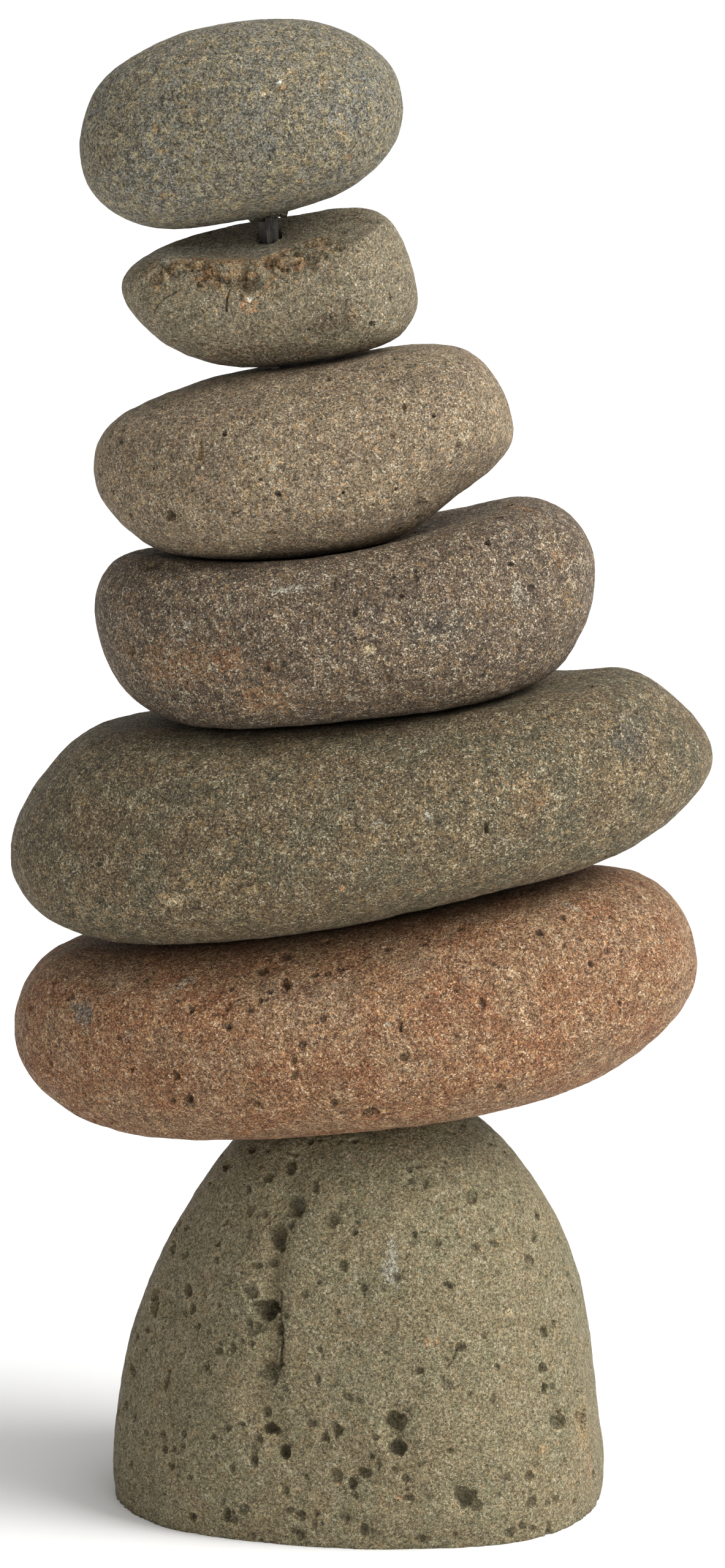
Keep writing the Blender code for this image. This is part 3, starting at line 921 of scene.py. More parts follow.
        # dirt and painted shade in the open pores and cavities
        open_pores = w.math("MULTIPLY", w.math("MAXIMUM", pores, cavities), self.pore_dark)
        dark = w.math("MAXIMUM", open_pores, deep)
        colour = w.mix(dark, colour, self.dirt_and_shade)
        w.put(w.shader.inputs["Base Color"], colour)
        w.put(w.shader.inputs["Roughness"], w.math("MULTIPLY_ADD", middle, -0.22, self.rough + 0.1))
        w.shader.inputs["Specular IOR Level"].default_value = self.sheen
        sunk = w.math("MULTIPLY_ADD", cavities, 1.6, pores)
        height = w.math("MULTIPLY_ADD", tone, self.relief, w.math("MULTIPLY", sunk, -self.pore_depth))
        height = w.math("MULTIPLY_ADD", flecks, self.fleck_rise, height)
        height = w.math("MULTIPLY_ADD", crag, self.crag_height, height)
        w.put(w.shader.inputs["Normal"], w.bump(height, 1.0))
        return w.material


@dataclass(frozen=True)
class SteelFinish:
    """Dark square steel bar with mill scale. Colours are linear."""

    name: str = "dark_steel"
    body: Colour = (0.060, 0.055, 0.046)
    scale: Colour = (0.026, 0.023, 0.019)
    glint: Colour = (0.13, 0.12, 0.115)
    rough: float = 0.42

    def build(self) -> bpy.types.Material:
        """Makes the material.

        Returns:
            The finished material.
        """
        w = Wiring(self.name)
        place = w.turned((0.0, 0.0, 0.6), (1.0, 1.0, 0.15))
        streaks = w.noise(place, 0.9, 4.0)
        clouds = w.noise(w.turned((0.3, 0.2, 0.1), (1.0, 1.0, 1.0)), 5.0, 3.0)
        colour = w.mix(w.span(clouds, 0.4, 0.62), self.body, self.scale)
        colour = w.mix(w.span(streaks, 0.35, 0.75, 0.0, 0.5), colour, self.glint)
        w.put(w.shader.inputs["Base Color"], colour)
        w.put(w.shader.inputs["Roughness"], w.math("MULTIPLY_ADD", streaks, 0.3, self.rough - 0.15))
        w.shader.inputs["Metallic"].default_value = 0.8
        w.put(w.shader.inputs["Normal"], w.bump(streaks, 0.08))
        return w.material


@dataclass
class CairnStone:
    """One stone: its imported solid, the fineness of its mesh, its marks and its finish.

    fineness is the mesh's cell in millimetres. wear gives the sizes and heights of the stone's
    unevenness in millimetres. finer are picture places and reaches where the mesh is split too.
    """

    node: str
    slot: str
    finish: RockFinish
    fineness: float
    wear: tuple[tuple[float, float], ...] = ((9.0, 0.28), (3.2, 0.12))
    hollows: tuple[Hollow, ...] = ()
    stains: tuple[Stain, ...] = ()
    grooves: tuple[Groove, ...] = ()
    pores: tuple[Pores, ...] = ()
    seed: int = 1
    finer: tuple[tuple[float, float, float], ...] = ()
    bubbles: list[Bubble] = field(default_factory=list)

    def smooth_solid(self) -> bpy.types.Mesh:
        """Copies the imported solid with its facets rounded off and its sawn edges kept.

        Returns:
            The smoothed mesh.
        """
        bm = bmesh.new()
        bm.from_mesh(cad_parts[self.node].data)
        bmesh.ops.remove_doubles(bm, verts=bm.verts, dist=MERGE_REACH)
        crease = bm.edges.layers.float.new("crease_edge")
        for edge in bm.edges:
            if edge.is_manifold and edge.calc_face_angle() > SHARP_ANGLE:
                edge[crease] = 1.0
        bmesh.ops.join_triangles(
            bm,
            faces=bm.faces,
            angle_face_threshold=JOIN_FLATNESS,
            angle_shape_threshold=JOIN_SQUARENESS,
        )
        mesh = bpy.data.meshes.new(f"{self.node}_form")
        bm.to_mesh(mesh)
        bm.free()
        return self.modified(mesh, self.add_smoothing)

    def add_smoothing(self, piece: bpy.types.Object) -> None:
        """Adds the Subdivision Surface modifier."""
        smoothing = piece.modifiers.new("rounding", "SUBSURF")
        smoothing.levels = SMOOTHING_LEVELS
        smoothing.render_levels = SMOOTHING_LEVELS

    def add_remesh(self, piece: bpy.types.Object) -> None:
        """Adds the Remesh modifier that gives the fine even mesh."""
        remesh = piece.modifiers.new("even_mesh", "REMESH")
        remesh.mode = "VOXEL"
        remesh.voxel_size = self.fineness * MM
        remesh.adaptivity = 0.0

    def modified(self, mesh: bpy.types.Mesh, add: object) -> bpy.types.Mesh:
        """Applies a modifier to a mesh.

        Args:
            mesh: the mesh, which is removed.
            add: the method that adds the modifier to an object.

        Returns:
            The new mesh.
        """
        piece = bpy.data.objects.new(mesh.name, mesh)
        bpy.context.scene.collection.objects.link(piece)
        add(piece)
        graph = bpy.context.evaluated_depsgraph_get()
        made = bpy.data.meshes.new_from_object(piece.evaluated_get(graph))
        bpy.data.objects.remove(piece)
        bpy.data.meshes.remove(mesh)
        return made

    def fine_mesh(self) -> bpy.types.Mesh:
        """Makes the even mesh, splits it under the marks and lays it on the smoothed solid.

        Returns:
            The fine mesh.
        """
        form = self.smooth_solid()
        solid = bmesh.new()
        solid.from_mesh(form)
        surface = BVHTree.FromBMesh(solid)
        mesh = self.modified(form, self.add_remesh)
        bm = bmesh.new()
        bm.from_mesh(mesh)
        points = np.array([vertex.co[:] for vertex in bm.verts])
        self.bubbles = [bubble for pores in self.pores for bubble in pores.scatter(points)]
        seen = self.marks_seen()
        coarse = self.seen_zones(bm, seen + list(self.finer), 1.25, 0.9 * MM)
        self.split_near(bm, coarse + self.pit_zones(1.1, 0.6 * MM, 0.0))
        fine = self.seen_zones(bm, seen, 1.1, 0.3 * MM)
        self.split_near(bm, fine + self.pit_zones(1.0, 0.2 * MM, FINE_SPLIT))
        for vertex in bm.verts:
            vertex.co, _, _, _ = surface.find_nearest(vertex.co)
        self.keep_edges_crisp(bm, solid)
        solid.free()
        bm.to_mesh(mesh)
        bm.free()
        mesh.update()
        return mesh

    def marks_seen(self) -> list[tuple[float, float, float]]:
        """The picture places of the hollows and cracks, each with its reach in picture steps."""
        seen = [
            (mark.across, mark.down, 0.5 * max(mark.width, mark.height))
            for mark in self.hollows
            if max(mark.width, mark.height) < 2.0 * LARGEST_SPLIT
        ]
        for groove in self.grooves:
            for start, end in zip(groove.path, groove.path[1:]):
                steps = math.ceil(math.dist(start, end) / CRACK_STEP)
                for number in range(steps + 1):
                    along = number / steps
                    across = start[0] + (end[0] - start[0]) * along
                    down = start[1] + (end[1] - start[1]) * along
                    seen.append((across, down, CRACK_REACH))
        return seen

    def seen_zones(
        self, bm: bmesh.types.BMesh, seen: list[tuple[float, float, float]], share: float, margin: float
    ) -> list[tuple[Vector, float]]:
        """Where the mesh has to be finer for the marks that are placed by sight lines.

        Args:
            bm: the mesh that the sight lines meet.
            seen: picture places and reaches in picture steps.
            share: how much of each reach to take.
            margin: how far past that to go, in metres.

        Returns:
            The zones' middles and radii in metres.
        """
        surface = BVHTree.FromBMesh(bm)
        zones = []
        for across, down, reach in seen:
            spot, _, _, _ = surface.ray_cast(Vector(RIG.place), RIG.sight(across, down))
            if spot is not None:
                zones.append((spot, share * reach * RIG.step_at(spot) + margin))
        return zones

    def pit_zones(self, share: float, margin: float, smallest: float) -> list[tuple[Vector, float]]:
        """Where the mesh has to be finer for the scattered pits of more than the smallest radius."""
        return [
            (bubble.seat, share * bubble.radius + margin)
            for bubble in self.bubbles
            if bubble.radius > smallest
        ]

    def split_near(self, bm: bmesh.types.BMesh, zones: list[tuple[Vector, float]]) -> None:
        """Halves the faces in the zones.

        Args:
            bm: the mesh.
            zones: their middles and radii in metres.
        """
        centres = KDTree(len(bm.faces))
        bm.faces.ensure_lookup_table()
        for face in bm.faces:
            centres.insert(face.calc_center_median(), face.index)
        centres.balance()
        chosen: dict[int, None] = {}
        for spot, reach in zones:
            chosen.update((number, None) for _, number, _ in centres.find_range(spot, reach))
        edges = {edge: None for number in sorted(chosen) for edge in bm.faces[number].edges}
        bmesh.ops.subdivide_edges(bm, edges=list(edges), cuts=1, use_grid_fill=True)
        bm.faces.index_update()

    def keep_edges_crisp(self, bm: bmesh.types.BMesh, solid: bmesh.types.BMesh) -> None:
        """Draws the vertices beside the form's sharp edges onto them.

        Args:
            bm: the fine mesh.
            solid: the smoothed solid that it lies on.
        """
        samples = []
        for edge in solid.edges:
            if edge.is_manifold and edge.calc_face_angle() > SHARP_ANGLE:
                start, end = (vertex.co for vertex in edge.verts)
                steps = math.ceil(edge.calc_length() / EDGE_STEP)
                samples += [(start.lerp(end, n / steps), start, end) for n in range(steps + 1)]
        if not samples:
            return
        tree = KDTree(len(samples))
        for number, sample in enumerate(samples):
            tree.insert(sample[0], number)
        tree.balance()
        for vertex in bm.verts:
            _, number, gap = tree.find(vertex.co)
            if gap < EDGE_PULL * self.fineness * MM:
                _, start, end = samples[number]
                vertex.co, _ = intersect_point_line(vertex.co, start, end)
        bmesh.ops.dissolve_degenerate(bm, dist=TOO_CLOSE, edges=bm.edges)
        drop_midpoints(bm)

    def shape(self, skin: Skin) -> None:
        """Adds forms of this stone's own before the wear; a plain stone has none."""

    def wear_down(self, skin: Skin) -> None:
        """Adds the stone's general unevenness."""
        for number, (cell, height) in enumerate(self.wear):
            relief = layered_noise(skin.rest, cell * MM, self.seed * 31 + number, 2)
            skin.points += skin.normals * ((relief - 0.4) * height * MM)[:, None]

    def mark(self, skin: Skin) -> None:
        """Digs the hollows and cracks, opens the pores and paints the stains."""
        for bubble in self.bubbles:
            skin.open_bubble(bubble)
        for number, hollow in enumerate(self.hollows):
            skin.dig(hollow, self.seed * 97 + number)
        for number, groove in enumerate(self.grooves):
            skin.cut(groove, self.seed * 53 + number)
        for number, stain in enumerate(self.stains):
            skin.stain(stain, self.seed * 41 + number)

    def tidy(self, mesh: bpy.types.Mesh) -> None:
        """Last changes to the mesh; a plain stone needs none."""

    def build(self) -> bpy.types.Object:
        """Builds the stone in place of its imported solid.

        Returns:
            The finished piece.
        """
        mesh = self.fine_mesh()
        skin = Skin(mesh)
        self.wear_down(skin)
        self.shape(skin)
        self.mark(skin)
        skin.write(*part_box(self.node))
        self.tidy(mesh)
        mesh.shade_smooth()
        mesh.name = f"{self.node}_dressed"
        mesh.materials.clear()
        mesh.materials.append(self.finish.build())
        piece = bpy.data.objects.new(f"{self.node}_dressed", mesh)
        bpy.context.scene.collection.objects.link(piece)
        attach(piece, BODY)
        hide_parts(self.node)
        return piece


@dataclass
class SawnBoulder(CairnStone):
    """The domed boulder with its long crease and its flat sawn foot.

    The crease is a step whose left side lies lower: crease_step deep, crease_reach wide, faded out
    over crease_fade at its ends, and as soft as the two ledge widths, from its lower to its upper
    end. Lengths are in millimetres.
    """

    crease: tuple[tuple[float, float], ...] = ()
    crease_step: float = 2.0
    crease_reach: float = 9.0
    crease_fade: float = 12.0
    crease_wander: tuple[float, float] = (7.0, 0.9)
    ledge: tuple[float, float] = (0.9, 5.0)
    chip_size: float = 4.5
    chip_depth: float = 1.5
    chip_height: float = 2.5

    def shape(self, skin: Skin) -> None:
        """Deepens the step along the left side of the crease, crisp below and soft above."""
        spots = [np.array(skin.meet(*point)) for point in self.crease]
        right, up = np.array(RIG.right), np.array(RIG.up)
        front = skin.normals @ -np.array(RIG.ahead) > 0.2
        heights = skin.rest @ up
        path_up = np.array([spot @ up for spot in spots])
        path_right = np.array([spot @ right for spot in spots])
        order = np.argsort(path_up)
        line = np.interp(heights, path_up[order], path_right[order])
        wander_size, wander_reach = (value * MM for value in self.crease_wander)
        ragged = layered_noise(skin.rest, wander_size, 5, 3) * wander_reach
        left = line + ragged - skin.rest @ right
        inside = (heights > path_up.min()) & (heights < path_up.max()) & front
        ends = np.minimum(heights - path_up.min(), path_up.max() - heights) / (self.crease_fade * MM)
        ledge = np.interp(heights, [path_up.min(), path_up.max()], self.ledge) * MM
        share = np.clip(left / ledge, 0.0, 1.0) * np.clip(1.0 - left / (self.crease_reach * MM), 0, 1)
        depth = np.where(inside, share * np.clip(ends, 0.0, 1.0), 0.0) * self.crease_step * MM
        skin.points -= skin.normals * depth[:, None]
        # painted shade: the deeper the step, the darker its colour
        skin.hollow = np.maximum(skin.hollow, 0.2 * depth / (self.crease_step * MM))

    def foot_of(self, skin: Skin) -> np.ndarray:
        """Which vertices lie on the sawn foot."""
        return skin.rest[:, 2] < 0.2 * self.fineness * MM

    def wear_down(self, skin: Skin) -> None:
        """Adds unevenness but keeps the sawn foot flat, and chips its rim."""
        super().wear_down(skin)
        foot = self.foot_of(skin)
        skin.points[foot] = skin.rest[foot]
        skin.points[foot, 2] = 0.0
        chips = np.clip(layered_noise(skin.rest, self.chip_size * MM, self.seed + 77, 3) - 0.1, 0, 1)
        low = np.exp(-skin.rest[:, 2] / (self.chip_height * MM))
        outward = skin.normals * np.array([1.0, 1.0, 0.0])
        skin.points -= outward * (chips * low * self.chip_depth * MM)[:, None]

    def mark(self, skin: Skin) -> None:
        """Marks the boulder and lays its foot flat again, apart from notches in its rim."""
        foot = self.foot_of(skin)
        before = skin.points[foot].copy()
        super().mark(skin)
        flat = skin.hollow[foot] < 0.05
        skin.points[foot] = np.where(flat[:, None], before, skin.points[foot])
        skin.points[foot, 2] = 0.0
        skin.points[:, 2] = np.maximum(skin.points[:, 2], 0.0)

    def tidy(self, mesh: bpy.types.Mesh) -> None:
        """Joins the faces of the flat foot into a few large ones.

        Args:
            mesh: the boulder's finished mesh.
        """
        bm = bmesh.new()
        bm.from_mesh(mesh)
        flat = {face for face in bm.faces if all(vertex.co.z < MERGE_REACH for vertex in face.verts)}
        inner = [vertex for vertex in bm.verts if flat.issuperset(vertex.link_faces)]
        joints = [edge for edge in bm.edges if flat.issuperset(edge.link_faces)]
        bmesh.ops.dissolve_limit(bm, angle_limit=FOOT_FLATNESS, verts=inner, edges=joints)
        drop_midpoints(bm)
        bm.to_mesh(mesh)
        bm.free()


@dataclass
class BrokenBlock(CairnStone):
    """The small stone with a dished top and a broken, rusty front below its ridge.

    ridge is a line of picture places, and break_depth and break_reach are picture steps below and
    along it. The break fades in and out over break_fade steps along it, and over break_hem steps
    below it. wander is the broad noise that shifts its lower edge, and chips are the sizes and
    slopes of its small planes. The bed is a slightly dished plane through bed_mark, bed_slope
    steep, which fades out between the two places of bed_fade.
    """

    ridge: tuple[tuple[float, float], ...] = ()
    bed_mark: tuple[float, float] = (421.0, 424.0)
    bed_middle: tuple[float, float] = (-57.0, 0.0)
    bed_slope: float = math.radians(17.0)
    bed_curve: float = 0.0065
    bed_fade: tuple[float, float] = (-30.0, -2.0)
    break_depth: float = 84.0
    break_reach: tuple[float, float] = (225.0, 590.0)
    break_fade: tuple[float, float] = (40.0, 90.0)
    break_hem: tuple[float, float] = (5.0, 22.0)
    wander: tuple[float, float] = (0.72, 0.35)
    rust_reach: float = 78.0
    chips: tuple[tuple[float, float], ...] = ((7.0, 0.50), (2.8, 0.50))
    crumble: float = 0.5
    deepest_break: float = 1.4
    bed_softness: tuple[float, float] = (0.25, 1.5)
    bed_lift: float = 1.6

    def shape(self, skin: Skin) -> None:
        """Sharpens the ridge and breaks the front face below it into small planes."""
        self.level_bed(skin)
        across, down = RIG.picture(skin.points)
        line = np.interp(across, [p[0] for p in self.ridge], [p[1] for p in self.ridge])
        below = down - line
        start, end = self.break_reach
        fade_in, fade_out = self.break_fade
        inside = np.clip((across - start) / fade_in, 0, 1) * np.clip((end - across) / fade_out, 0, 1)
        wander = layered_noise(skin.rest, 9.0 * MM, self.seed + 8, 3)
        depth_of_break = self.break_depth * (self.wander[0] + self.wander[1] * wander)
        top_hem, low_hem = self.break_hem
        band = np.clip(below / top_hem, 0, 1) * np.clip((depth_of_break - below) / low_hem, 0, 1)
        front = np.clip(skin.normals @ -np.array(RIG.ahead) * 3.0, 0, 1)
        share = inside * band * front
        chosen = np.nonzero(share > 0.0)[0]
        relief = self.crumble * MM * layered_noise(skin.rest[chosen], 2.0 * MM, self.seed + 3, 3)
        for number, (cell, slope) in enumerate(self.chips):
            relief += chipped(skin.rest[chosen], cell * MM, slope, self.seed + number)
        depth = share[chosen] * np.maximum(self.deepest_break * MM - relief, -0.3 * MM)
        skin.sink_each(chosen, depth)
        # painted shade: the deeper dents of the break are darkened
        skin.shade(chosen, np.clip(depth / (5.0 * MM) - 0.4, 0.0, 0.4), np.zeros(len(chosen)))
        self.rust(skin, inside * front, below, wander)

    def level_bed(self, skin: Skin) -> None:
        """Cuts the top back to a slightly dished plane, crisp at the left and fading rightwards."""
        middle_x, middle_y = (value * MM for value in self.bed_middle)
        curve = self.bed_curve / MM
        slope = math.tan(self.bed_slope)
        seat = skin.meet(*self.bed_mark)
        mark_rise = slope * (seat.y - middle_y)
        mark_rise += 0.5 * curve * ((seat.x - middle_x) ** 2 + (seat.y - middle_y) ** 2)
        x, y, z = skin.points.T
        bed = seat.z - mark_rise + slope * (y - middle_y)
        bed += 0.5 * curve * ((x - middle_x) ** 2 + (y - middle_y) ** 2)
        start, end = (value * MM for value in self.bed_fade)
        fade = np.clip((x - start) / (end - start), 0.0, 1.0)
        softness = (self.bed_softness[0] + self.bed_softness[1] * fade) * MM
        bed += self.bed_lift * fade * MM
        facing_up = skin.normals[:, 2] > 0.0
        squeeze = np.clip((z - bed) / softness, -30.0, 30.0)
        press = np.where(squeeze > 29.0, z - bed, softness * np.log1p(np.exp(squeeze)))
        skin.points[:, 2] -= np.where(facing_up, press, 0.0)

    def rust(self, skin: Skin, share: np.ndarray, below: np.ndarray, wander: np.ndarray) -> None:
        """Stains the broken face in ochre and rust, most of all just under the ridge.

        Args:
            skin: the stone's skin.
            share: how much of the stain each vertex may take.
            below: how many picture steps each vertex lies under the ridge.
            wander: broad noise.
        """
        near_ridge = np.clip(1.2 - below / self.rust_reach, 0.0, 1.0)
        near_ridge *= np.clip(1.0 + below / 3.0, 0.0, 1.0)
        flecks = layered_noise(skin.rest, 4.0 * MM, self.seed + 15, 3)
        amount = np.clip(share * near_ridge * (0.60 + 0.6 * wander + 0.5 * flecks), 0.0, 0.85)
        warm = np.clip(0.7 + 0.9 * layered_noise(skin.rest, 6.0 * MM, self.seed + 21, 3), 0.0, 1.0)
        colour = np.array(Tinge.RUST.value) * (1.0 - warm[:, None])
        colour += np.array(Tinge.OCHRE.value) * warm[:, None]
        skin.tint[:, :3] = colour
        skin.tint[:, 3] = amount


@dataclass
class EggStone(CairnStone):
    """The top stone, with dark ragged filler at the mouth of its hole.

    bar_foot is where the bar's line meets the ground, mouth_radius is how far out the filler
    reaches and filler is how thick it is, all in millimetres.
    """

    bar_foot: float = 10.5
    bar_lean: float = math.radians(5.0)
    mouth_radius: float = 7.6
    filler: float = 1.9

    def shape(self, skin: Skin) -> None:
        """Raises the filler round the bar, under the stone."""
        way = np.array([-math.sin(self.bar_lean), 0.0, math.cos(self.bar_lean)])
        offset = skin.rest - np.array([self.bar_foot * MM, 0.0, 0.0])
        gap = np.linalg.norm(offset - (offset @ way)[:, None] * way, axis=1) / MM
        under = skin.normals[:, 2] < -0.3
        ragged = layered_noise(skin.rest, 3.0 * MM, self.seed + 9, 3)
        share = np.clip((self.mouth_radius + 1.6 * ragged - gap) / 1.2, 0, 1) * under
        lift = share * self.filler * MM * (0.75 + 0.5 * ragged)
        skin.points -= way * lift[:, None]
        skin.tint[:, 3] = np.maximum(skin.tint[:, 3], np.clip(share * 1.6, 0, 1))
        skin.tint[:, :3] += np.array(Tinge.SOOT.value) * (share > 0)[:, None]


@dataclass
class SteelBar:
    """The bar that carries the stones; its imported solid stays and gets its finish."""

    node: str = "steel_bar"
    finish: SteelFinish = field(default_factory=SteelFinish)

    def dress(self) -> bpy.types.Object:
        """Gives the bar its finish.

        Returns:
            The bar's object.
        """
        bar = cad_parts[self.node]
        bar.data.materials.clear()
        bar.data.materials.append(self.finish.build())
        return bar


@dataclass
class Studio:
    """The floor, the light and the picture's tone.

    The surroundings are white, sky_middle bright, and brighter by sky_slope towards sky_light. They
    are full white below the low band, which is a height of the view's way.
    """

    floor_size: float = 160.0
    floor_colour: Colour = (0.86, 0.86, 0.85)
    sky_middle: float = 0.59
    sky_slope: float = 0.53
    sky_light: tuple[float, float, float] = (0.90, -0.20, 0.34)
    low_band: tuple[float, float] = (0.20, 0.30)
    key_strength: float = 3.2
    key_angle: float = math.radians(32.0)
    key_way: tuple[float, float, float] = (0.90, -0.28, 0.84)
    card_power: float = 5.0
    card_size: tuple[float, float] = (0.9, 0.5)
    card_place: tuple[float, float, float] = (0.50, -0.58, 0.04)
    card_aim: tuple[float, float, float] = (0.0, 0.0, 0.25)

    def build(self) -> None:
        """Makes the floor, the sky, the key light and the low card."""
        self.make_floor()
        self.make_sky()
        self.make_key()
        self.make_card()
        bpy.context.scene.view_settings.view_transform = "Standard"

    def make_floor(self) -> None:
        """Makes the plain pale floor."""
        bm = bmesh.new()
        bmesh.ops.create_grid(bm, x_segments=1, y_segments=1, size=self.floor_size)
        mesh = bpy.data.meshes.new("studio_floor")
        bm.to_mesh(mesh)
        bm.free()
        w = Wiring("studio_floor")
        w.shader.inputs["Base Color"].default_value = (*self.floor_colour, 1.0)
        w.shader.inputs["Roughness"].default_value = 0.9
        w.shader.inputs["Specular IOR Level"].default_value = 0.1
        mesh.materials.append(w.material)
        floor = bpy.data.objects.new("studio_floor", mesh)
        bpy.context.scene.collection.objects.link(floor)

    def make_sky(self) -> None:
        """Makes the white surroundings, brighter at the right and white along the horizon."""
        world = bpy.data.worlds.new("studio_white")
        world.use_nodes = True
        tree = world.node_tree
        ground = tree.nodes["Background"]
        way = tree.nodes.new("ShaderNodeTexCoord").outputs["Generated"]
        side = tree.nodes.new("ShaderNodeVectorMath")
        side.operation = "DOT_PRODUCT"
        tree.links.new(way, side.inputs[0])
        side.inputs[1].default_value = self.sky_light
        slope = tree.nodes.new("ShaderNodeMath")
        slope.operation = "MULTIPLY_ADD"
        tree.links.new(side.outputs["Value"], slope.inputs[0])
        slope.inputs[1].default_value = self.sky_slope
        slope.inputs[2].default_value = self.sky_middle
        split = tree.nodes.new("ShaderNodeSeparateXYZ")
        tree.links.new(way, split.inputs[0])
        band = tree.nodes.new("ShaderNodeMapRange")
        band.interpolation_type = "SMOOTHSTEP"
        tree.links.new(split.outputs["Z"], band.inputs["Value"])
        band.inputs["From Min"].default_value = self.low_band[0]
        band.inputs["From Max"].default_value = self.low_band[1]
        blend = tree.nodes.new("ShaderNodeMix")
        tree.links.new(band.outputs[0], blend.inputs["Factor"])
        blend.inputs["A"].default_value = 1.0
        tree.links.new(slope.outputs[0], blend.inputs["B"])
        tree.links.new(blend.outputs[0], ground.inputs["Strength"])
        ground.inputs["Color"].default_value = (1.0, 1.0, 1.0, 1.0)
        bpy.context.scene.world = world

    def make_key(self) -> None:
        """Makes the broad soft light at the front right."""
        data = bpy.data.lights.new("key_light", "SUN")
        data.energy = self.key_strength
        data.angle = self.key_angle
        key = bpy.data.objects.new("key_light", data)
        key.location = self.key_way
        key.rotation_euler = (-Vector(self.key_way)).to_track_quat("-Z", "Y").to_euler()
        bpy.context.scene.collection.objects.link(key)

    def make_card(self) -> None:
        """Makes the low white card that lifts the undersides at the front right."""
        data = bpy.data.lights.new("low_card", "AREA")
        data.shape = "RECTANGLE"
        data.size, data.size_y = self.card_size
        data.energy = self.card_power
        card = bpy.data.objects.new("low_card", data)
        card.location = self.card_place
        aim = Vector(self.card_aim) - Vector(self.card_place)
        card.rotation_euler = aim.to_track_quat("-Z", "Y").to_euler()
        card.visible_camera = False
        bpy.context.scene.collection.objects.link(card)


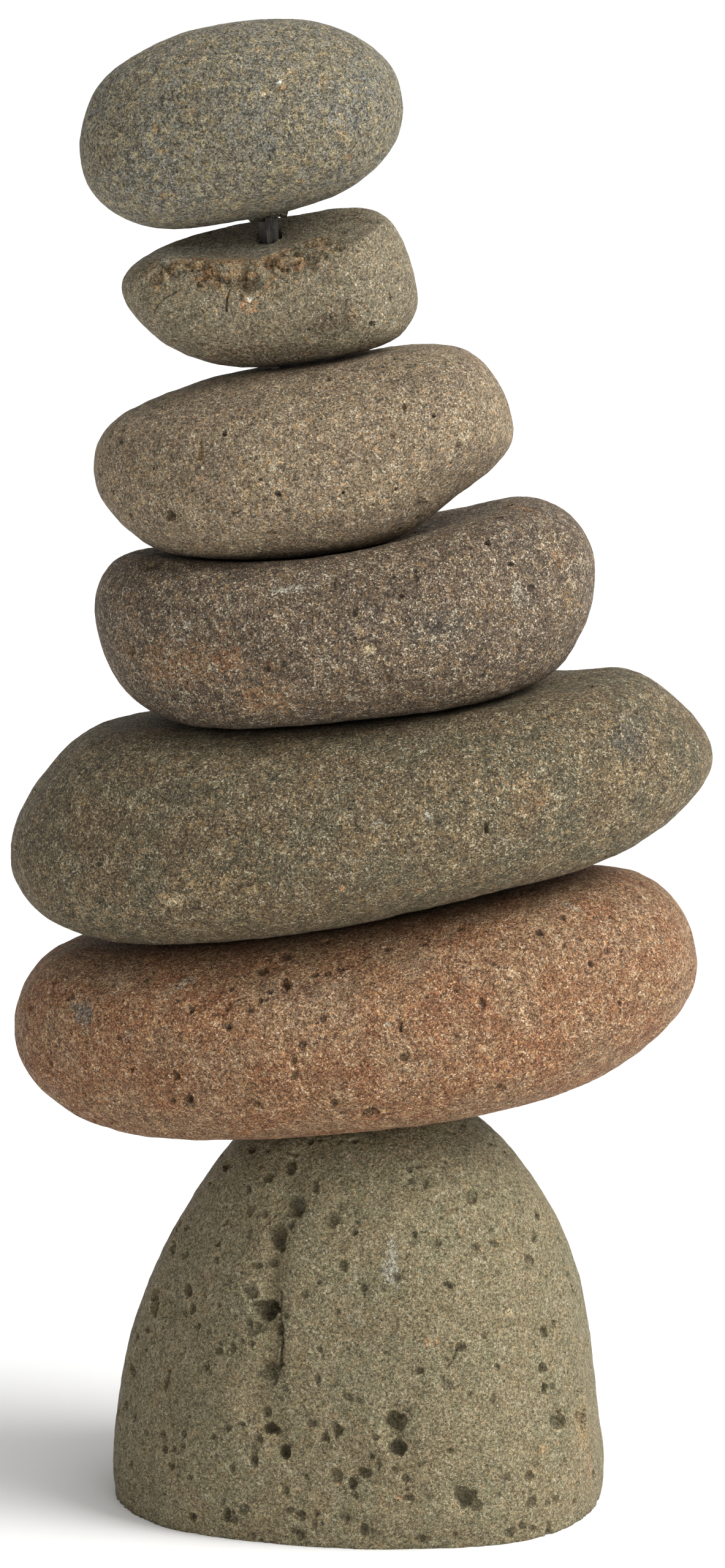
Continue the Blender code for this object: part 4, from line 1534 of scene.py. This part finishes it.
def make_stones() -> list[CairnStone]:
    """Describes the seven stones, from the foot up.

    Returns:
        The stones, ready to build.
    """
    boulder = SawnBoulder(
        node="base_stone",
        slot="olive_rock",
        finish=RockFinish(
            "olive_rock",
            body=(0.148, 0.128, 0.069),
            drift=(0.164, 0.131, 0.069),
            speck=(0.22, 0.148, 0.070),
            pore_share=0.40,
            pore_size=1.9,
            pore_depth=0.6,
            contrast=0.85,
            weights=(0.50, 0.30, 0.08, 0.16),
            cavity_share=0.34,
            hollow_dirt_and_shade=0.38,
            crevice_shade=0.5,
            fleck=(0.40, 0.37, 0.26),
            warm_fleck=(0.32, 0.24, 0.13),
        ),
        fineness=1.85,
        seed=3,
        crease=(
            (480, 1905), (472, 1950), (468, 2000), (465, 2040), (456, 2100), (455, 2140),
            (457, 2190), (455, 2222), (447, 2256), (436, 2285),
        ),
        crease_step=2.2,
        hollows=(
            Hollow(412, 1876, 20, 20),
            Hollow(370, 1900, 22, 24),
            Hollow(475, 1903, 22, 28),
            Hollow(515, 1934, 14, 34),
            Hollow(482, 1970, 34, 44, 4.0),
            Hollow(452, 2017, 34, 50, 5.0),
            Hollow(445, 2063, 22, 16),
            Hollow(417, 2066, 24, 12),
            Hollow(434, 2136, 46, 34, 9.0, 0, 0.9),
            Hollow(408, 2108, 34, 30, 2.2),
            Hollow(456, 2172, 18, 24, 5.0),
            Hollow(405, 2172, 34, 22, 2.0),
            Hollow(252, 2128, 20, 50, 5.0),
            Hollow(306, 2106, 18, 28, 4.0),
            Hollow(323, 2163, 16, 14),
            Hollow(271, 2255, 10, 44, 3.0, -14),
            Hollow(507, 1862, 12, 16),
            Hollow(355, 2030, 13, 13),
            Hollow(304, 2003, 14, 14),
            Hollow(442, 2333, 32, 20, 6.0, 0, 0.9),
            Hollow(463, 2372, 22, 27, 6.0, 0, 0.9),
            Hollow(372, 2332, 16, 14),
            Hollow(348, 2345, 12, 14),
            Hollow(550, 2337, 16, 24, 3.5, -25),
            Hollow(529, 2347, 18, 18),
            Hollow(645, 2318, 40, 34, 5.0, 20),
            Hollow(648, 2364, 32, 32, 6.0, 0, 0.8),
            Hollow(604, 2379, 14, 14),
            Hollow(594, 2405, 26, 18, 3.5),
            Hollow(575, 2423, 18, 20, 4.0),
            Hollow(760, 2446, 42, 36, 4.5, -15, 0.8),
            Hollow(500, 2411, 12, 10),
            Hollow(213, 2390, 12, 14),
            Hollow(309, 2412, 14, 13),
            Hollow(314, 2478, 16, 20, 3.0),
            Hollow(369, 2475, 15, 28, 3.5),
            Hollow(472, 2466, 26, 12),
            Hollow(480, 2500, 16, 12),
            Hollow(594, 2499, 18, 26, 1.5),
            Hollow(694, 1930, 10, 24, 1.6),
            Hollow(770, 1956, 20, 30, 2.2),
            Hollow(873, 2021, 12, 22, 2.0),
            Hollow(751, 2199, 18, 16, 2.4),
            Hollow(732, 2261, 26, 18, 1.0),
            Hollow(886, 2234, 17, 20, 4.0, 0, 0.9),
            Hollow(889, 2267, 13, 18, 3.5, 0, 0.9),
            Hollow(910, 2320, 30, 30, 3.2),
            Hollow(953, 2318, 12, 46, 2.6),
            Hollow(805, 2285, 12, 18, 1.4, -20),
            Hollow(827, 2412, 14, 14),
            Hollow(667, 2445, 24, 14, 1.6),
            Hollow(735, 2369, 16, 12),
            Hollow(218, 2313, 14, 16),
            Hollow(283, 2365, 14, 14),
            Hollow(690, 2513, 28, 18, 2.6),
            Hollow(282, 2037, 13, 26, 1.6),
            Hollow(422, 2167, 24, 22, 2.2),
            Hollow(437, 2238, 26, 36, 3.2),
            Hollow(394, 2326, 14, 10),
            Hollow(201, 2304, 9, 16),
            Hollow(217, 2335, 11, 12),
            Hollow(232, 2357, 9, 9),
            Hollow(244, 2367, 10, 9),
            Hollow(286, 2286, 11, 14),
            Hollow(280, 2326, 9, 9),
            Hollow(211, 2446, 16, 12),
            Hollow(490, 2475, 22, 18),
            Hollow(516, 2471, 12, 16),
            Hollow(414, 2372, 14, 40, 1.6),
            Hollow(462, 2266, 16, 12, 1.8),
            Hollow(521, 2205, 12, 12),
            Hollow(224, 2180, 9, 20),
            Hollow(214, 2232, 8, 18),
            Hollow(340, 2174, 12, 10),
            Hollow(408, 1975, 20, 24, 1.0),
            Hollow(356, 2129, 10, 14),
        ),
        grooves=(
            Groove(((458, 2110), (457, 2135), (459, 2180), (457, 2225), (447, 2258)), 1.8, 2.6),
            Groove(((747, 2205), (738, 2222), (728, 2236)), 1.2, 1.0),
        ),
        stains=(
            Stain(640, 2070, 30, 70, Tinge.CHALK_AND_PAINTED_LIGHT, 0.75),
            Stain(575, 2150, 40, 50, Tinge.CHALK_AND_PAINTED_LIGHT, 0.35),
            Stain(834, 2142, 14, 16, Tinge.CREAM, 1.0),
            Stain(888, 2366, 20, 24, Tinge.OCHRE, 0.7),
            Stain(935, 2425, 24, 20, Tinge.OCHRE, 0.45),
            Stain(707, 2188, 36, 24, Tinge.ORANGE, 0.35),
            Stain(650, 2445, 26, 14, Tinge.ORANGE, 0.4),
            Stain(950, 2330, 26, 90, Tinge.OCHRE, 0.5),
            Stain(962, 2400, 16, 60, Tinge.ORANGE, 0.45),
        ),
        pores=(
            Pores(540, 0.95, 2.2, 0.9, 2.0, 11, 0.8),
            Pores(80, 1.5, 3.2, 0.8, 1.6, 12, 1.2),
        ),
    )
    red = CairnStone(
        node="red_stone",
        slot="red_rock",
        finish=RockFinish(
            "red_rock",
            body=(0.177, 0.074, 0.030),
            drift=(0.179, 0.098, 0.048),
            speck=(0.30, 0.20, 0.105),
            speck_share=0.12,
            pore_share=0.38,
            pore_size=1.9,
            contrast=1.0,
            powers=(0.86, 1.04, 1.25),
            fleck=(0.62, 0.49, 0.33),
            warm_fleck=(0.52, 0.26, 0.09),
        ),
        fineness=1.6,
        seed=7,
        hollows=(
            Hollow(604, 1817, 32, 22, 3.2),
            Hollow(466, 1605, 20, 22, 4.0, 0, 0.9),
            Hollow(440, 1618, 13, 13, 2.6),
            Hollow(425, 1633, 11, 12, 2.4),
            Hollow(466, 1560, 28, 18, 2.0),
            Hollow(313, 1648, 11, 13, 2.0),
            Hollow(377, 1614, 10, 13, 1.6),
            Hollow(287, 1756, 16, 18, 3.0, 0, 0.9),
            Hollow(306, 1796, 20, 20, 3.2, 0, 0.9),
            Hollow(281, 1799, 13, 13, 2.4),
            Hollow(817, 1777, 20, 16, 2.8, 0, 0.9),
            Hollow(963, 1573, 10, 12, 2.0),
            Hollow(653, 1677, 11, 16, 1.6),
            Hollow(213, 1748, 12, 10, 1.6),
            Hollow(705, 1629, 34, 30, 0.8, 0, 0.2, 0.2),
        ),
        stains=(
            Stain(134, 1652, 42, 50, Tinge.BLUE_GREY, 0.8),
            Stain(212, 1690, 16, 16, Tinge.BLUE_GREY, 0.6),
            Stain(511, 1625, 130, 80, Tinge.BEIGE, 0.5),
            Stain(709, 1569, 120, 60, Tinge.BEIGE, 0.4),
            Stain(470, 1790, 260, 70, Tinge.RUST, 0.35),
            Stain(200, 1600, 160, 60, Tinge.BEIGE, 0.35, 30),
            Stain(1000, 1560, 110, 90, Tinge.BEIGE, 0.35),
            Stain(705, 1629, 40, 36, Tinge.BRICK, 0.4),
            Stain(298, 1606, 50, 14, Tinge.CHALK_AND_PAINTED_LIGHT, 0.5, 35),
            Stain(933, 1480, 60, 12, Tinge.CHALK_AND_PAINTED_LIGHT, 0.45, -20),
            Stain(632, 1673, 12, 10, Tinge.CHALK_AND_PAINTED_LIGHT, 0.9),
        ),
        pores=(
            Pores(300, 0.95, 2.0, 0.85, 2.2, 21, 0.9),
            Pores(24, 1.6, 3.0, 0.7, 1.6, 22, 1.2),
        ),
    )
    green = CairnStone(
        node="green_stone",
        slot="green_rock",
        finish=RockFinish(
            "green_rock",
            body=(0.083, 0.068, 0.037),
            drift=(0.098, 0.068, 0.034),
            speck=(0.20, 0.13, 0.055),
            speck_share=0.14,
            fleck=(0.48, 0.44, 0.31),
            warm_fleck=(0.34, 0.23, 0.11),
            pore_share=0.12,
            pore_size=2.6,
            contrast=1.05,
        ),
        fineness=1.45,
        seed=13,
        hollows=(
            Hollow(794, 1352, 9, 22, 2.4, 0, 0.9),
            Hollow(396, 1445, 36, 9, 1.0),
            Hollow(162, 1411, 12, 9, 1.0),
        ),
        stains=(
            Stain(396, 1446, 42, 12, Tinge.BROWN, 0.7),
            Stain(283, 1471, 40, 24, Tinge.CREAM, 0.7),
            Stain(272, 1462, 22, 14, Tinge.ORANGE, 0.6),
            Stain(1034, 1167, 50, 16, Tinge.OCHRE, 0.6),
            Stain(1022, 1207, 90, 80, Tinge.SLATE, 0.75),
            Stain(860, 1300, 120, 60, Tinge.RUST, 0.3),
            Stain(330, 1440, 200, 50, Tinge.OCHRE, 0.3),
            Stain(777, 1279, 16, 10, Tinge.CREAM, 0.9),
            Stain(698, 1335, 14, 16, Tinge.CHALK_AND_PAINTED_LIGHT, 0.8),
            Stain(615, 1343, 26, 20, Tinge.CHALK_AND_PAINTED_LIGHT, 0.6),
            Stain(683, 1452, 12, 10, Tinge.RUST, 0.8),
            Stain(558, 1449, 12, 10, Tinge.ORANGE, 0.8),
            Stain(294, 1301, 34, 18, Tinge.SLATE, 0.5),
            Stain(660, 1226, 14, 14, Tinge.SLATE, 0.7),
        ),
        pores=(Pores(110, 0.9, 1.8, 0.6, 2.5, 31, 0.6),),
    )
    purple = CairnStone(
        node="purple_stone",
        slot="purple_rock",
        finish=RockFinish(
            "purple_rock",
            body=(0.080, 0.056, 0.036),
            drift=(0.091, 0.062, 0.037),
            speck=(0.22, 0.135, 0.06),
            speck_share=0.13,
            patch=(0.15, 0.06, 0.026),
            patch_share=0.25,
            pore_share=0.25,
            pore_size=2.2,
            contrast=1.08,
            warm_fleck=(0.38, 0.26, 0.15),
        ),
        fineness=1.25,
        seed=17,
        hollows=(
            Hollow(796, 887, 11, 10, 2.0, 0, 0.9),
            Hollow(834, 921, 13, 10, 1.8, 0, 0.9),
            Hollow(435, 1092, 13, 12, 2.2, 0, 0.9),
            Hollow(655, 973, 11, 9, 1.4),
            Hollow(828, 826, 30, 9, 1.6),
            Hollow(861, 833, 26, 9, 1.2),
            Hollow(248, 926, 40, 14, 1.2, 20, 0.3, 0.6),
            Hollow(216, 1062, 14, 22, 1.6),
            Hollow(774, 1074, 14, 16, 1.2),
        ),
        stains=(
            Stain(603, 1062, 20, 22, Tinge.CREAM, 0.9),
            Stain(365, 1078, 70, 54, Tinge.BRICK, 0.8),
            Stain(425, 1140, 96, 50, Tinge.RUST, 0.7),
            Stain(300, 1090, 176, 110, Tinge.RUST, 0.55),
            Stain(465, 962, 70, 12, Tinge.CHALK_AND_PAINTED_LIGHT, 0.7, 8),
            Stain(303, 1022, 44, 16, Tinge.CHALK_AND_PAINTED_LIGHT, 0.5, 40),
            Stain(727, 1022, 100, 90, Tinge.SLATE, 0.6),
            Stain(845, 965, 30, 40, Tinge.CHALK_AND_PAINTED_LIGHT, 0.45),
            Stain(915, 912, 40, 26, Tinge.RUST, 0.5),
            Stain(931, 980, 22, 50, Tinge.OCHRE, 0.5),
            Stain(845, 828, 64, 12, Tinge.RUST, 0.6, -10),
            Stain(571, 1140, 14, 12, Tinge.CHALK_AND_PAINTED_LIGHT, 0.9),
        ),
        pores=(Pores(150, 0.9, 1.8, 0.75, 2.5, 41, 0.9),),
    )
    tan = CairnStone(
        node="tan_stone",
        slot="tan_rock",
        finish=RockFinish(
            "tan_rock",
            body=(0.177, 0.134, 0.081),
            drift=(0.161, 0.120, 0.077),
            speck=(0.27, 0.175, 0.085),
            speck_share=0.10,
            pore_share=0.32,
            pore_size=2.0,
            contrast=0.95,
        ),
        fineness=1.1,
        seed=19,
        hollows=(
            Hollow(278, 843, 20, 24, 3.4, 0, 0.9),
            Hollow(211, 841, 13, 14, 2.2, 0, 0.9),
            Hollow(250, 765, 6, 6, 1.8),
            Hollow(184, 804, 8, 9, 1.4),
            Hollow(454, 806, 13, 10, 2.6, -35, 0.9),
            Hollow(560, 806, 7, 7, 2.2, 0, 0.9),
            Hollow(647, 799, 7, 7, 1.8, 0, 0.9),
            Hollow(425, 783, 7, 7, 1.4),
            Hollow(365, 708, 10, 14, 1.6),
            Hollow(326, 737, 13, 40, 1.2, 0, 0.4, 0.5),
            Hollow(686, 822, 30, 22, 1.2, 0, 0.5, 0.6),
            Hollow(659, 664, 10, 13, 1.8),
            Hollow(709, 678, 8, 8, 1.6),
            Hollow(748, 728, 11, 13, 1.2),
            Hollow(461, 763, 22, 14, 0.6),
        ),
        stains=(
            Stain(326, 737, 16, 44, Tinge.OCHRE, 0.7),
            Stain(542, 633, 7, 7, Tinge.ORANGE, 1.0),
            Stain(774, 590, 54, 26, Tinge.BRICK, 0.3, -30),
            Stain(484, 690, 26, 22, Tinge.OCHRE, 0.6),
            Stain(580, 705, 60, 40, Tinge.BEIGE, 0.5),
        ),
        pores=(Pores(240, 0.8, 1.6, 0.7, 2.5, 51, 0.7),),
    )
    block = BrokenBlock(
        node="block_stone",
        slot="rusty_rock",
        finish=RockFinish(
            "rusty_rock",
            body=(0.176, 0.144, 0.090),
            drift=(0.153, 0.129, 0.081),
            speck=(0.21, 0.16, 0.08),
            speck_share=0.08,
            pore_share=0.10,
            contrast=0.85,
            crevice_shade=0.5,
            fleck_share=0.3,
        ),
        fineness=1.0,
        seed=23,
        finer=(
            (250, 465, 46), (300, 462, 46), (350, 465, 46), (400, 465, 46), (450, 455, 46),
            (500, 440, 46), (545, 425, 46),
        ),
        ridge=((200, 440), (245, 424), (300, 422), (421, 425), (473, 402), (517, 388), (560, 372)),
        hollows=(
            Hollow(607, 529, 13, 10, 2.6, 0, 0.9),
            Hollow(283, 558, 14, 9, 1.6, -20),
            Hollow(331, 564, 20, 7, 1.8),
            Hollow(500, 540, 180, 26, 1.0, 3, 0.0, 0.25),
            Hollow(438, 386, 50, 20, 0.8, 0, 0.3, 0.6),
            Hollow(613, 395, 5, 18, 0.5, -6, 0.3, 0.5),
            Hollow(640, 410, 5, 22, 0.6, -8, 0.3, 0.5),
            Hollow(625, 445, 5, 18, 0.5, -4, 0.3, 0.5),
            Hollow(650, 458, 5, 20, 0.6, -8, 0.3, 0.5),
            Hollow(600, 425, 6, 14, 0.5, -10, 0.3, 0.5),
            Hollow(660, 492, 5, 18, 0.5, -4, 0.3, 0.5),
            Hollow(636, 484, 5, 20, 0.5, -6, 0.3, 0.5),
            Hollow(612, 474, 5, 14, 0.5, -12, 0.3, 0.5),
            Hollow(590, 456, 6, 12, 0.5, -10, 0.3, 0.5),
            Hollow(668, 432, 4, 22, 0.5, -6, 0.3, 0.5),
            Hollow(628, 372, 5, 16, 0.5, -14, 0.3, 0.5),
        ),
        grooves=(
            Groove(((344, 440), (346, 450), (360, 453), (368, 462), (372, 478)), 0.9, 0.9, 0.6),
            Groove(((374, 474), (370, 490), (369, 508)), 1.0, 1.2, 0.6),
            Groove(((316, 432), (306, 442), (298, 452)), 1.0, 0.9, 0.6),
            Groove(((287, 477), (270, 486), (256, 500), (250, 515)), 0.9, 0.7),
        ),
        stains=(
            Stain(402, 500, 42, 32, Tinge.ORANGE, 0.55),
            Stain(330, 455, 60, 24, Tinge.RUST, 0.5),
            Stain(240, 446, 50, 18, Tinge.OCHRE, 0.4),
            Stain(540, 440, 60, 34, Tinge.BEIGE, 0.45),
            # painted light: these two pale patches light up the bed left of the bar
            Stain(300, 404, 190, 40, Tinge.CHALK_AND_PAINTED_LIGHT, 0.65, 12),
            Stain(400, 402, 120, 34, Tinge.CHALK_AND_PAINTED_LIGHT, 0.5, 4),
            Stain(560, 352, 110, 30, Tinge.BROWN, 0.4, 12),
            # painted shade: the bottom of the front is darkened
            Stain(435, 585, 380, 60, Tinge.BROWN, 0.45, 3),
            # painted shade: under the overhang where the front face curves in
            Stain(550, 520, 150, 60, Tinge.BROWN, 0.35, 20),
            # painted highlight: a white glint on the broken face
            Stain(407, 488, 9, 6, Tinge.WHITE, 0.7),
        ),
    )
    top = EggStone(
        node="top_stone",
        slot="grey_rock",
        finish=RockFinish(
            "grey_rock",
            body=(0.123, 0.117, 0.095),
            drift=(0.138, 0.122, 0.087),
            speck=(0.29, 0.22, 0.105),
            speck_share=0.20,
            fleck=(0.42, 0.38, 0.25),
            warm_fleck=(0.34, 0.26, 0.12),
            pore_share=0.06,
            contrast=1.1,
            crystal=1.0,
        ),
        fineness=1.0,
        wear=((9.0, 0.2), (3.2, 0.10)),
        seed=29,
        stains=(
            Stain(454, 135, 11, 12, Tinge.WHITE, 0.8),
            Stain(462, 143, 14, 8, Tinge.ORANGE, 0.9),
            Stain(480, 117, 13, 9, Tinge.ORANGE, 0.9, 20),
            Stain(465, 122, 26, 12, Tinge.CREAM, 0.6, 35),
            Stain(431, 153, 10, 16, Tinge.CREAM, 0.8),
            Stain(309, 183, 20, 26, Tinge.OCHRE, 0.6),
            Stain(254, 206, 10, 18, Tinge.OCHRE, 0.7),
            Stain(265, 247, 22, 10, Tinge.OCHRE, 0.7),
            Stain(559, 217, 13, 26, Tinge.OCHRE, 0.8),
            Stain(570, 256, 12, 10, Tinge.ORANGE, 0.7),
            Stain(420, 80, 26, 12, Tinge.OCHRE, 0.6),
            Stain(519, 91, 18, 14, Tinge.OCHRE, 0.6),
            Stain(527, 134, 14, 22, Tinge.OCHRE, 0.6),
            Stain(495, 296, 12, 10, Tinge.ORANGE, 0.7),
            Stain(529, 281, 12, 12, Tinge.OCHRE, 0.7),
            Stain(273, 322, 30, 20, Tinge.OCHRE, 0.5),
            Stain(326, 85, 90, 46, Tinge.BEIGE, 0.35),
            Stain(455, 270, 22, 16, Tinge.SLATE, 0.6),
            Stain(623, 228, 14, 14, Tinge.SLATE, 0.6),
        ),
        pores=(Pores(60, 0.8, 1.3, 0.6, 2.0, 61, 0.5),),
    )
    return [boulder, red, green, purple, tan, block, top]


def main() -> None:
    """Builds the cairn and its studio."""
    logging.basicConfig(level=logging.INFO, format="%(name)s: %(message)s")
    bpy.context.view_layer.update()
    RIG.build()
    Studio().build()
    for stone in make_stones():
        piece = stone.build()
        piece.data.calc_loop_triangles()
        log.info("%s has %d triangles", piece.name, len(piece.data.loop_triangles))
    bar = SteelBar().dress()
    log.info("%s keeps its packed solid", bar.name)


if __name__ == "__main__":
    main()
